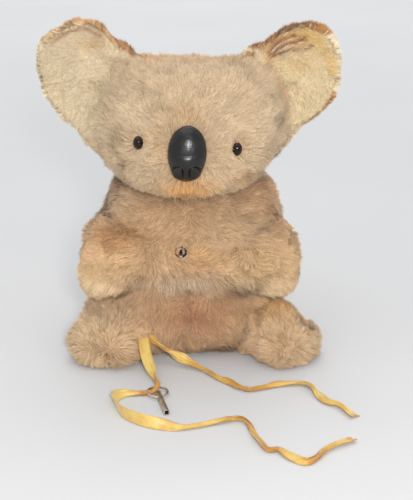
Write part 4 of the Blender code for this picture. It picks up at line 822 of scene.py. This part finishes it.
plain_body_colour = stained(
    PINK,
    ((-75, -30, 125), (35, 60, 30), GREY, 0.8),
    ((35, -60, 115), (35, 60, 25), TAN, 0.5),
    ((70, -40, 135), (30, 50, 16), BROWN, 0.3),
    ((-4, -64, 96), (34, 40, 16), SAND, 0.5),
    ((10, -64, 94), (18, 40, 12), OCHRE, 0.4),
    ((60, -50, 85), (45, 80, 28), SAND, 0.9),
    ((-62, -50, 85), (36, 80, 26), SAND, 0.8),
    ((-60, -60, 108), (32, 50, 10), RUST, 0.75),
    ((-70, -60, 70), (30, 50, 10), CREAM, 0.6),
    ((60, -60, 68), (34, 50, 12), CREAM, 0.7),
    ((-4, -60, 74), (40, 40, 10), hue(212, 190, 164), 0.8),
    ((8, -60, 40), (36, 60, 22), BROWN, 0.9),
    ((-40, -60, 46), (22, 60, 18), PINK, 0.6),
    # painted shade: the two dark patches under the arms' lower edges
    ((40, -50, 60), (16, 30, 7), DARK, 0.75),
    ((-50, -50, 61), (20, 30, 5), DARK, 0.5),
    ((-82, -60, 15), (40, 80, 40), TAN, 0.9),
    ((90, -50, 15), (40, 80, 40), TAN, 0.9),
    ((80, -45, 40), (30, 50, 12), OCHRE, 0.85),
    ((0, 60, 80), (90, 40, 80), OCHRE, 0.5),
    ((-9.6, -64, 97.5), (4, 30, 2.8), hue(196, 112, 50), 0.9),
    lines=(
        # painted shade: the umber lines along the paw and foot slits darken the pile beside them
        (RIGHT_LEG_SEAM, 0.0022, DARK, 0.5), (RIGHT_FOOT_SLIT, 0.0012, UMBER, 0.9),
        (RIGHT_PAW_SLIT, 0.0012, UMBER, 0.9), (LEFT_PAW_SEAM, 0.0012, CREAM, 0.9),
        # painted shade: the dark lines below the chin and along the creases under both arms
        (CHIN_CREASE, 0.0028, DARK, 0.95), (LEFT_ARM_CREASE, 0.002, DARK, 0.7),
        (RIGHT_ARM_CREASE, 0.0022, DARK, 0.8),
    ),
)
# painted shade below the chin and under the arms, beside the head and arm skins
body_colour = with_crease_shade(
    plain_body_colour, (head, 0.12, 0.16, 0.75),
    (arms["left"], 0.04, 0.066, 0.6), (arms["right"], 0.04, 0.066, 0.7),
)


def torso_mask(points, normals):
    clear = 1 - near(points, STEM - (0, 0, 0.0012), 0.0044, 0.001)
    return clear * outside(points, head, *arms.values(), *legs.values())


def body_reach(points):
    """Longer pile along the lower edge of the chest, and shorter along seams and below the chin."""
    fringe = bell(points[:, 2] - 0.07, 0.008) * (points[:, 1] < -0.02)
    seams = sum(bell(beside(points, route), 0.0045) for route in SLITS)
    seams = seams + bell(beside(points, LEFT_PAW_SEAM), 0.002)
    corner = bell(away(points, ARM_CORNER), 0.022)
    chin = np.zeros(len(points))
    high = (points[:, 2] > 0.115) & (points[:, 0] < 0.03) & (points[:, 1] < 0)
    chin[high] = bell(np.maximum(head.gap(points[high]), 0), 0.005)
    longer = (1 + 0.35 * fringe) * (1 - 0.65 * np.clip(seams, 0, 1))
    return longer * (1 - 0.45 * corner) * (1 - 0.6 * chin)


Pile(
    torso, 201, comb_body, body_colour, torso_mask, 0.0088, 0.98, reach=body_reach, ruffle=0.95, calm=1.25
).build(130000, FUR, "body", 2)

# Rims of the ears: (route, width, colour), and how much longer the pile is on the first of them
EAR_RIMS = {
    "left": ((EAR_BAND, 0.0085, hue(208, 162, 108)), (LEFT_EAR_TOP, 0.006, hue(224, 196, 156))),
    "right": ((RIGHT_EAR_TOP, 0.0078, hue(180, 132, 84)), (RIGHT_EAR_FOOT, 0.0075, hue(202, 158, 106))),
}
RIM_REACH = {"left": 0.5, "right": 0.3}
LINING_COLOURS = {
    "left": stained(
        hue(214, 196, 164),
        ((-74, 0, 252), (12, 30, 6), OCHRE, 0.5),
        ((-60, 0, 215), (20, 30, 20), SAND, 0.15),
        mottle=0.05, seed=9, lines=((LEFT_EAR_SEAM, 0.0018, BROWN, 0.7),),
    ),
    "right": stained(
        hue(222, 202, 162),
        ((86, 0, 256), (22, 30, 12), hue(204, 162, 96), 0.9),
        ((74, 0, 254), (13, 30, 9), OCHRE, 0.8),
        ((68, 0, 250), (8, 30, 8), UMBER, 0.5),
        ((86, 0, 236), (20, 30, 6), GOLD, 0.4),
        mottle=0.05, seed=10,
        lines=(
            *((route, 0.0015, UMBER, 0.95) for route in RIGHT_EAR_FOLDS),
            # painted highlights along the glossy folds
            *((route, 0.0006, srgb(250, 244, 226), 0.6) for route in RIGHT_EAR_GLINTS),
            (RIGHT_EAR_ARC, 0.003, GOLD, 0.7),
            # painted shade along the crease where the right ear meets the head
            (RIGHT_EAR_CREASE, 0.0026, RUST, 0.45),
        ),
    ),
}
shell_back = stained(hue(200, 154, 102), seed=7)
shell_front = stained(hue(236, 220, 190), seed=8, mottle=0.06)


def limb_mask(points, normals):
    bare = [beside(points, route) > 0.0008 for route in SLITS]
    return outside(points, torso, head) * np.prod(bare, axis=0)


def lining_mask(points, normals):
    return outside(points, head) * (normals[:, 1] < 0.3)


for side, sign in SIDES:
    toe = np.array(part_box(f"leg_{side}")).mean(0) + (0.01 * sign, -0.06, -0.01)

    def comb_leg(points):
        return unit(points - toe) + (0, 0, -0.25)

    Pile(
        arms[side], 301 + sign, comb_body, plain_body_colour, limb_mask, 0.0085, 0.98, reach=body_reach,
        ruffle=0.85, calm=1.2,
    ).build(38000, FUR, "body")
    Pile(
        legs[side], 401 + sign, comb_leg, body_colour, limb_mask, 0.0092, 0.92, 0.0056, 0.0022,
        reach=body_reach, ruffle=1.0,
    ).build(40000, FUR, "body")

    root = np.array([sign * 0.058, 0.004, 0.222])

    def comb_ear(points):
        return points - root

    def comb_lining(points):
        """Out and down, and matted in a fan over the folds of the right ear."""
        folded = bell(away(points, FOLDS_MIDDLE), 0.018)[:, None]
        fan = unit(points - FOLDS_ROOT)
        return (1 - folded) * (unit(points - root) + (0, 0, -0.7)) + folded * fan

    rims = EAR_RIMS[side]

    def shell_colour(points, normals):
        front = smoothstep(-normals[:, 1], -0.6, -0.2)[:, None]
        total = shell_back(points, normals) * (1 - front) + shell_front(points, normals) * front
        for route, size, tint in rims:
            rim = bell(beside(points, route), size)[:, None] + 0.15 * wander(points, 0.006, 77)[:, :1]
            rim = smoothstep(rim, 0.35, 0.65)
            total = total * (1 - rim) + stained(tint, seed=6)(points, normals) * rim
        return total

    def shell_reach(points):
        return 1 + RIM_REACH[side] * bell(beside(points, rims[0][0]), 0.009)

    def ear_mask(points, normals):
        under = (linings[side].gap(points) < 0.0016) & (normals[:, 1] < -0.25)
        return outside(points, head, linings[side]) * (1 - under)

    Pile(
        shells[side], 501 + sign, comb_ear, shell_colour, ear_mask, 0.006, 1.05, reach=shell_reach,
        calm=0.6, pull=(0.2, 0.4),
    ).build(42000, FUR, "turning_head", width=0.0004)
    lining, tint = linings[side], LINING_COLOURS[side]
    cloth = lining.build(EAR_CLOTH, "turning_head")
    paint(cloth.data, "pile", np.clip(tint(lining.points, lining.normals()) / GAIN, 0, 1))
    Pile(
        lining, 601 + sign, comb_lining, tint, lining_mask, 0.0062, 1.24, 0.007, 0.0026,
        ruffle=0.8, calm=0.7, pull=(0.25, 0.5),
    ).build(44000, EAR_PLUSH, "turning_head")


# Nose and eyes


def nose_look():
    look = Look("nose_plastic", roughness=0.3, Specular_IOR_Level=0.5)
    cloud = look.noise(120)
    look.colour(look.ramp(cloud, (0.35, (0.003, 0.003, 0.003)), (0.7, (0.008, 0.0077, 0.0073))))
    look.rough(look.noise(260), 0.24, 0.4)
    look.bump(look.noise(340, 4), 0.0006, 0.45)
    return look.material


def eye_look():
    look = Look("eye_glass", roughness=0.16, Specular_IOR_Level=0.35)
    speck = look.ramp(look.noise(300, 2), (0.35, 0.75), (0.7, 1.0))
    look.colour(look.times(look.painted("iris"), speck))
    return look.material


FACE_ROUNDS = 900
PANEL_CORNER = 0.0032


def shape_nose():
    """An egg with two sunken nostril panels and a rounded ridge between them."""
    skin = Skin("nose", 7, 0.0, rounds=150)
    low, high = np.array(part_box("nose"))
    middle_x, foot = (low[0] + high[0]) / 2 - 0.0008, low[2]
    share = away(skin.points, skin.middle)
    x, z = (skin.points[:, [0, 2]] - (middle_x, foot)).T
    flat = (np.abs(x) < 0.0145) & (z < 0.024) & (skin.points[:, 1] < skin.middle[1] + 0.002)
    for _ in range(FACE_ROUNDS):
        share = np.where(flat, skin.mean(share), share)
    skin.points = skin.middle + unit(skin.points - skin.middle) * share[:, None]
    x, z = (skin.points[:, [0, 2]] - (middle_x, foot)).T
    front = smoothstep(skin.middle[1] - skin.points[:, 1], 0.0, 0.004)
    lift = np.zeros(len(x))
    for side in (-1, 1):
        across = np.abs(x - side * 0.0064) - 0.0038 + PANEL_CORNER
        along = np.abs(z - 0.0078) - 0.0068 + PANEL_CORNER
        edge = np.hypot(np.clip(across, 0, None), np.clip(along, 0, None)) - PANEL_CORNER
        lift -= 0.0007 * smoothstep(-edge, -0.0002, 0.0005) * front
        lift -= 0.0016 * bell(edge, 0.00055) * front
        lift += 0.0004 * bell(edge - 0.0014, 0.0008) * front
    lift += 0.0014 * bell(np.hypot(x / 0.003, (z - 0.0015) / 0.0035), 1.0) * front
    lift += 0.0016 * bell(np.hypot((np.abs(x) - 0.0095) / 0.0045, (z - 0.0035) / 0.0055), 1.0)
    skin.raise_by(lift)
    return skin


nose = shape_nose()
nose_piece = make_object("nose_moulding", nose.points, nose.faces, nose_look())
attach(nose_piece, "turning_head")
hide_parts("nose")
EYE_GLASS = eye_look()
PUPIL = np.array([0.003, 0.002, 0.002])
IRIS = np.array([0.07, 0.018, 0.007])
for side, sign in SIDES:
    eye = Skin(f"eye_{side}", 5, 0.0, rounds=8)
    eye_piece = make_object(f"eye_{side}_button", eye.points, eye.faces, EYE_GLASS)
    offset = (eye.points - EYES[side]) / (0.0043, 1, 0.0055)
    ring = smoothstep(np.hypot(offset[:, 0], offset[:, 2]), 0.4, 0.9)[:, None]
    ring *= 0.35 + 0.65 * smoothstep(-offset[:, 2:3], -0.1, 0.6)
    paint(eye_piece.data, "iris", (1 - ring) * PUPIL + ring * IRIS)
    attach(eye_piece, "turning_head")
    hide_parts(f"eye_{side}")


# Ribbon

RIBBON_WIDTH = 0.0095
RIBBON_THICK = 0.00025
KEY_STRAND_ROUTE = mm(
    (-35.8, -60.5, 24), (-36.1, -65, 22.4), (-35, -73, 18), (-32.6, -82, 13), (-29.2, -92, 9.4),
    (-25.4, -103, 7), (-23.2, -111, 6.3), (-22.6, -115.6, 6), (-24, -118.8, 3.4), (-27.2, -121.2, 1.2),
    (-31.8, -122.6, 1), (-38.5, -122.2, 1), (-49, -122.8, 1), (-55, -130, 1), (-55.5, -143, 1),
    (-47.5, -160, 1), (-32.5, -172, 1), (-14.5, -176.5, 1), (4, -175, 1), (22.3, -168.5, 1),
    (39, -164.5, 1), (47, -173, 1), (53.5, -196, 1), (60, -211, 1), (68, -210.8, 1), (77, -220.5, 1),
    (86.5, -228.5, 1), (94.5, -223.5, 1), (102.5, -210, 1), (113.8, -201, 1), (124.1, -193.5, 1),
)
PLAIN_STRAND_ROUTE = mm(
    (-30.6, -60.5, 24), (-30, -63.3, 23), (-26.2, -66, 20), (-19, -69, 15.5), (-9, -71.5, 10.5),
    (2, -75, 6), (11.5, -80, 2.2), (18.7, -87, 1), (26.2, -95.5, 1), (34.8, -104, 1), (42.5, -113, 1),
    (50, -116.5, 1), (60.2, -112.5, 1), (74.9, -106, 1), (90, -105, 1), (100.1, -113, 1),
    (108.6, -134, 1), (119.5, -143, 1), (129.4, -159.5, 1),
)
# Lie of each strand along its length: share of the length in thousandths, turn about its line in
# degrees, and how much of its width is spread out, in hundredths
KEY_STRAND_LIE = (
    (0, 12, 100), (50, 5, 100), (80, -10, 100), (105, -35, 90), (130, -60, 70), (155, -85, 45),
    (175, -60, 30), (200, -10, 35), (225, 5, 60), (252, 10, 95), (280, 45, 100), (310, 72, 100),
    (360, 92, 100), (420, 108, 100), (460, 132, 100), (490, 160, 95), (520, 182, 80), (570, 190, 70),
    (600, 228, 55), (635, 290, 50), (655, 330, 40), (690, 370, 62), (725, 385, 62), (750, 400, 40),
    (775, 395, 35), (800, 375, 70), (830, 370, 85), (860, 345, 50), (890, 330, 42), (925, 350, 60),
    (960, 365, 75), (1000, 372, 100),
)
PLAIN_STRAND_LIE = (
    (0, -70, 60), (40, -60, 50), (75, 0, 45), (105, 60, 50), (130, 108, 85), (160, 128, 95),
    (180, 150, 75), (205, 170, 50), (260, 188, 60), (330, 192, 62), (400, 184, 55), (450, 176, 50),
    (490, 172, 40), (540, 182, 45), (600, 192, 62), (660, 200, 68), (710, 206, 75), (745, 212, 60),
    (790, 198, 85), (850, 190, 75), (905, 176, 60), (950, 188, 85), (1000, 196, 100),
)


def spline(route, spacing):
    """Points close together on a smooth curve through a route."""
    ends = [2 * route[0] - route[1], *route, 2 * route[-1] - route[-2]]
    points = []
    for p0, p1, p2, p3 in zip(ends, ends[1:], ends[2:], ends[3:]):
        steps = max(2, int(np.linalg.norm(p2 - p1) / spacing))
        for t in np.arange(steps) / steps:
            points.append(
                0.5 * (2 * p1 + (p2 - p0) * t + (2 * p0 - 5 * p1 + 4 * p2 - p3) * t**2
                       + (3 * p1 - p0 - 3 * p2 + p3) * t**3)
            )
    points.append(ends[-2])
    return np.array(points)


def ribbon_look():
    look = Look("satin_ribbon", roughness=0.35, Sheen_Weight=0.3)
    look.shader.inputs["Anisotropic"].default_value = 0.6
    soil = look.noise(70, 3, 0.5)
    base = look.ramp(
        soil, (0.3, srgb(202, 162, 84)), (0.5, srgb(216, 184, 100)), (0.8, srgb(224, 198, 116))
    )
    look.colour(look.times(base, look.painted("wear")))
    look.rough(soil, 0.45, 0.3)
    look.bump(look.noise(2500, 1, 0, (1, 8, 1)), 0.00005, 0.3)
    return look.material


def wear(thing, tone):
    """Darker tones painted on the satin, taking more blue than red: painted shade in its folds and
    gathers, and soil at its ends.
    """
    paint(thing.data, "wear", np.stack([tone**power for power in (0.4, 0.9, 1.7)], axis=1))


def evened(values):
    """Values along a ribbon, each the mean of nine."""
    return np.convolve(np.pad(values, 4, "edge"), np.ones(9) / 9, "valid")


ACROSS = 9
SPACING = 0.0012
TABLE_GAP = 0.0004
SATIN = ribbon_look()


def make_tack():
    """The folded end of the ribbon where both strands are stitched on."""
    skin = Skin("ribbon_tack", 5, 0.0, rounds=2)
    x, z = skin.points[:, 0] - skin.middle[0], skin.points[:, 2] - skin.middle[2]
    skin.raise_by(0.00025 * np.cos(x / 0.0007) - 0.0003 * bell(z, 0.0004))
    thing = make_object("ribbon_tack_satin", skin.points, skin.faces, SATIN)
    # painted shade along the fold in the middle of the tack, with the whole tack a little darker
    wear(thing, 0.8 - 0.35 * bell(z, 0.0005))
    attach(thing, "body")
    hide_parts("ribbon_tack")


make_tack()


def make_ribbon(name, route, lie):
    """A satin strand that lies, turns over and gathers along its route."""
    line = spline(route, SPACING)
    steps = np.concatenate([[0], np.cumsum(np.linalg.norm(np.diff(line, axis=0), axis=1))])
    share = steps / steps[-1]
    places, turns, widths = (np.array(lie) / (1000, 1, 100)).T
    turn = evened(np.radians(np.interp(share, places, turns)))
    spread = evened(np.interp(share, places, widths))
    along = unit(np.gradient(line, axis=0))
    flat = unit(np.cross(along, [0, 0, 1.0]))
    upward = unit(np.cross(flat, along))
    v = np.linspace(-1, 1, ACROSS)
    half = RIBBON_WIDTH / 2
    sideways = v[None, :] * half * spread[:, None]
    pleat = 0.45 * half * np.sqrt(np.clip(1 - spread**2, 0, 1))
    ripple = pleat[:, None] * np.cos(1.5 * math.pi * v[None, :] + 9 * share[:, None] * math.pi)
    across = np.cos(turn)[:, None] * sideways - np.sin(turn)[:, None] * ripple
    height = np.sin(turn)[:, None] * sideways + np.cos(turn)[:, None] * ripple
    surface = line[:, None] + across[:, :, None] * flat[:, None] + height[:, :, None] * upward[:, None]
    low = surface[:, :, 2].min(1)
    lift = np.maximum(evened(np.clip(TABLE_GAP - low, 0, None)), TABLE_GAP - low)
    surface[:, :, 2] += lift[:, None]
    normal = unit(np.cross(np.gradient(surface, axis=0), np.gradient(surface, axis=1)))
    back = surface - RIBBON_THICK * normal
    rows = len(line)
    points = np.concatenate([surface.reshape(-1, 3), back.reshape(-1, 3)])
    top, base = np.arange(2 * rows * ACROSS).reshape(2, rows, ACROSS)
    faces = []
    for i in range(rows - 1):
        for j in range(ACROSS - 1):
            faces.append((top[i, j], top[i, j + 1], top[i + 1, j + 1], top[i + 1, j]))
            faces.append((base[i, j], base[i + 1, j], base[i + 1, j + 1], base[i, j + 1]))
        faces.append((top[i, 0], top[i + 1, 0], base[i + 1, 0], base[i, 0]))
        faces.append((top[i + 1, -1], top[i, -1], base[i, -1], base[i + 1, -1]))
    for j in range(ACROSS - 1):
        faces.append((top[0, j + 1], top[0, j], base[0, j], base[0, j + 1]))
        faces.append((top[-1, j], top[-1, j + 1], base[-1, j + 1], base[-1, j]))
    thing = make_object(name, points, faces, SATIN)
    bm = bmesh.new()
    bm.from_mesh(thing.data)
    bmesh.ops.recalc_face_normals(bm, faces=bm.faces)
    bm.to_mesh(thing.data)
    bm.free()
    # painted shade where the strand is gathered or twisted; soil at its ends; darker along its long edges
    shade = 1 - 0.55 * smoothstep(1 - spread, 0.1, 0.7)[:, None] * np.ones(ACROSS)
    shade *= (1 - 0.42 * smoothstep(share, 0.978, 0.992))[:, None]
    edge = 1 - 0.18 * smoothstep(np.abs(v), 0.8, 1.0)[None, :]
    wear(thing, np.tile((shade * edge).reshape(-1), 2))
    line[:, 2] += lift
    return thing, line


for strand, route, lie, carried in (
    ("key", KEY_STRAND_ROUTE, KEY_STRAND_LIE, ("key_ring", "key_shank")),
    ("plain", PLAIN_STRAND_ROUTE, PLAIN_STRAND_LIE, ()),
):
    thing, line = make_ribbon(f"ribbon_{strand}_satin", route, lie)
    node = f"ribbon_{strand}_strand"
    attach(thing, "body")
    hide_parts(node)


# Metal and movement


def metal(name, dark, light, roughness):
    look = Look(name, metallic=1.0, roughness=roughness)
    look.colour(look.ramp(look.noise(180, 4, 0.6), (0.35, dark), (0.65, light)))
    look.rough(look.noise(360), roughness - 0.1, roughness + 0.15)
    look.bump(look.noise(900), 0.0001, 0.25)
    return look.material


NICKEL = metal("nickel_worn", srgb(176, 162, 146), srgb(216, 210, 200), 0.36)
# dark blue-grey, partly painted shade of the eyelet's inner wall under the fur
GUNMETAL = metal("ferrule_dark_shaded", srgb(44, 50, 62), srgb(88, 96, 112), 0.42)


def arbor_look():
    """Painted highlight: near-white at the lower end, where the glint sits, and dark grey above."""
    look = Look("arbor_painted_glint", metallic=1.0, roughness=0.3)
    parts = look.node("SeparateXYZ")
    look.link(look.coords, parts.inputs[0])
    scale = look.node("MapRange")
    scale.inputs["From Min"].default_value = STEM[2] - 0.0015
    scale.inputs["From Max"].default_value = STEM[2] + 0.0008
    look.link(parts.outputs["Z"], scale.inputs["Value"])
    glint_and_dark_top = look.ramp(scale.outputs[0], (0.0, srgb(240, 226, 196)), (1.0, srgb(74, 78, 88)))
    look.colour(look.times(glint_and_dark_top, look.ramp(look.noise(700), (0.35, 0.7), (0.65, 1.0))))
    look.bump(look.noise(900), 0.0001, 0.25)
    return look.material


GLINTED_ARBOR = arbor_look()
STEEL = metal("steel_blued", srgb(70, 66, 64), srgb(150, 150, 150), 0.35)
BRASS = metal("brass_old", srgb(150, 112, 52), srgb(206, 168, 92), 0.35)
TIN = metal("tinplate_dull", srgb(120, 118, 112), srgb(182, 180, 172), 0.45)
BOARD = Look("fibreboard_brown", roughness=0.9)
BOARD.colour(BOARD.ramp(BOARD.noise(300, 4), (0.3, srgb(96, 70, 44)), (0.7, srgb(140, 108, 70))))

FINISH = {
    "nickel": NICKEL, "steel": STEEL, "spring_steel": STEEL, "brass": BRASS, "tinplate": TIN,
    "fibreboard": BOARD.material,
}
FINISH_OF = {"belly_ferrule": GUNMETAL, "winding_arbor": GLINTED_ARBOR}
for name, node in NODES.items():
    for slot in () if node.hide_render else node.material_slots:
        slot.material = FINISH_OF.get(name) or FINISH[slot.material.name.split(".")[0]]
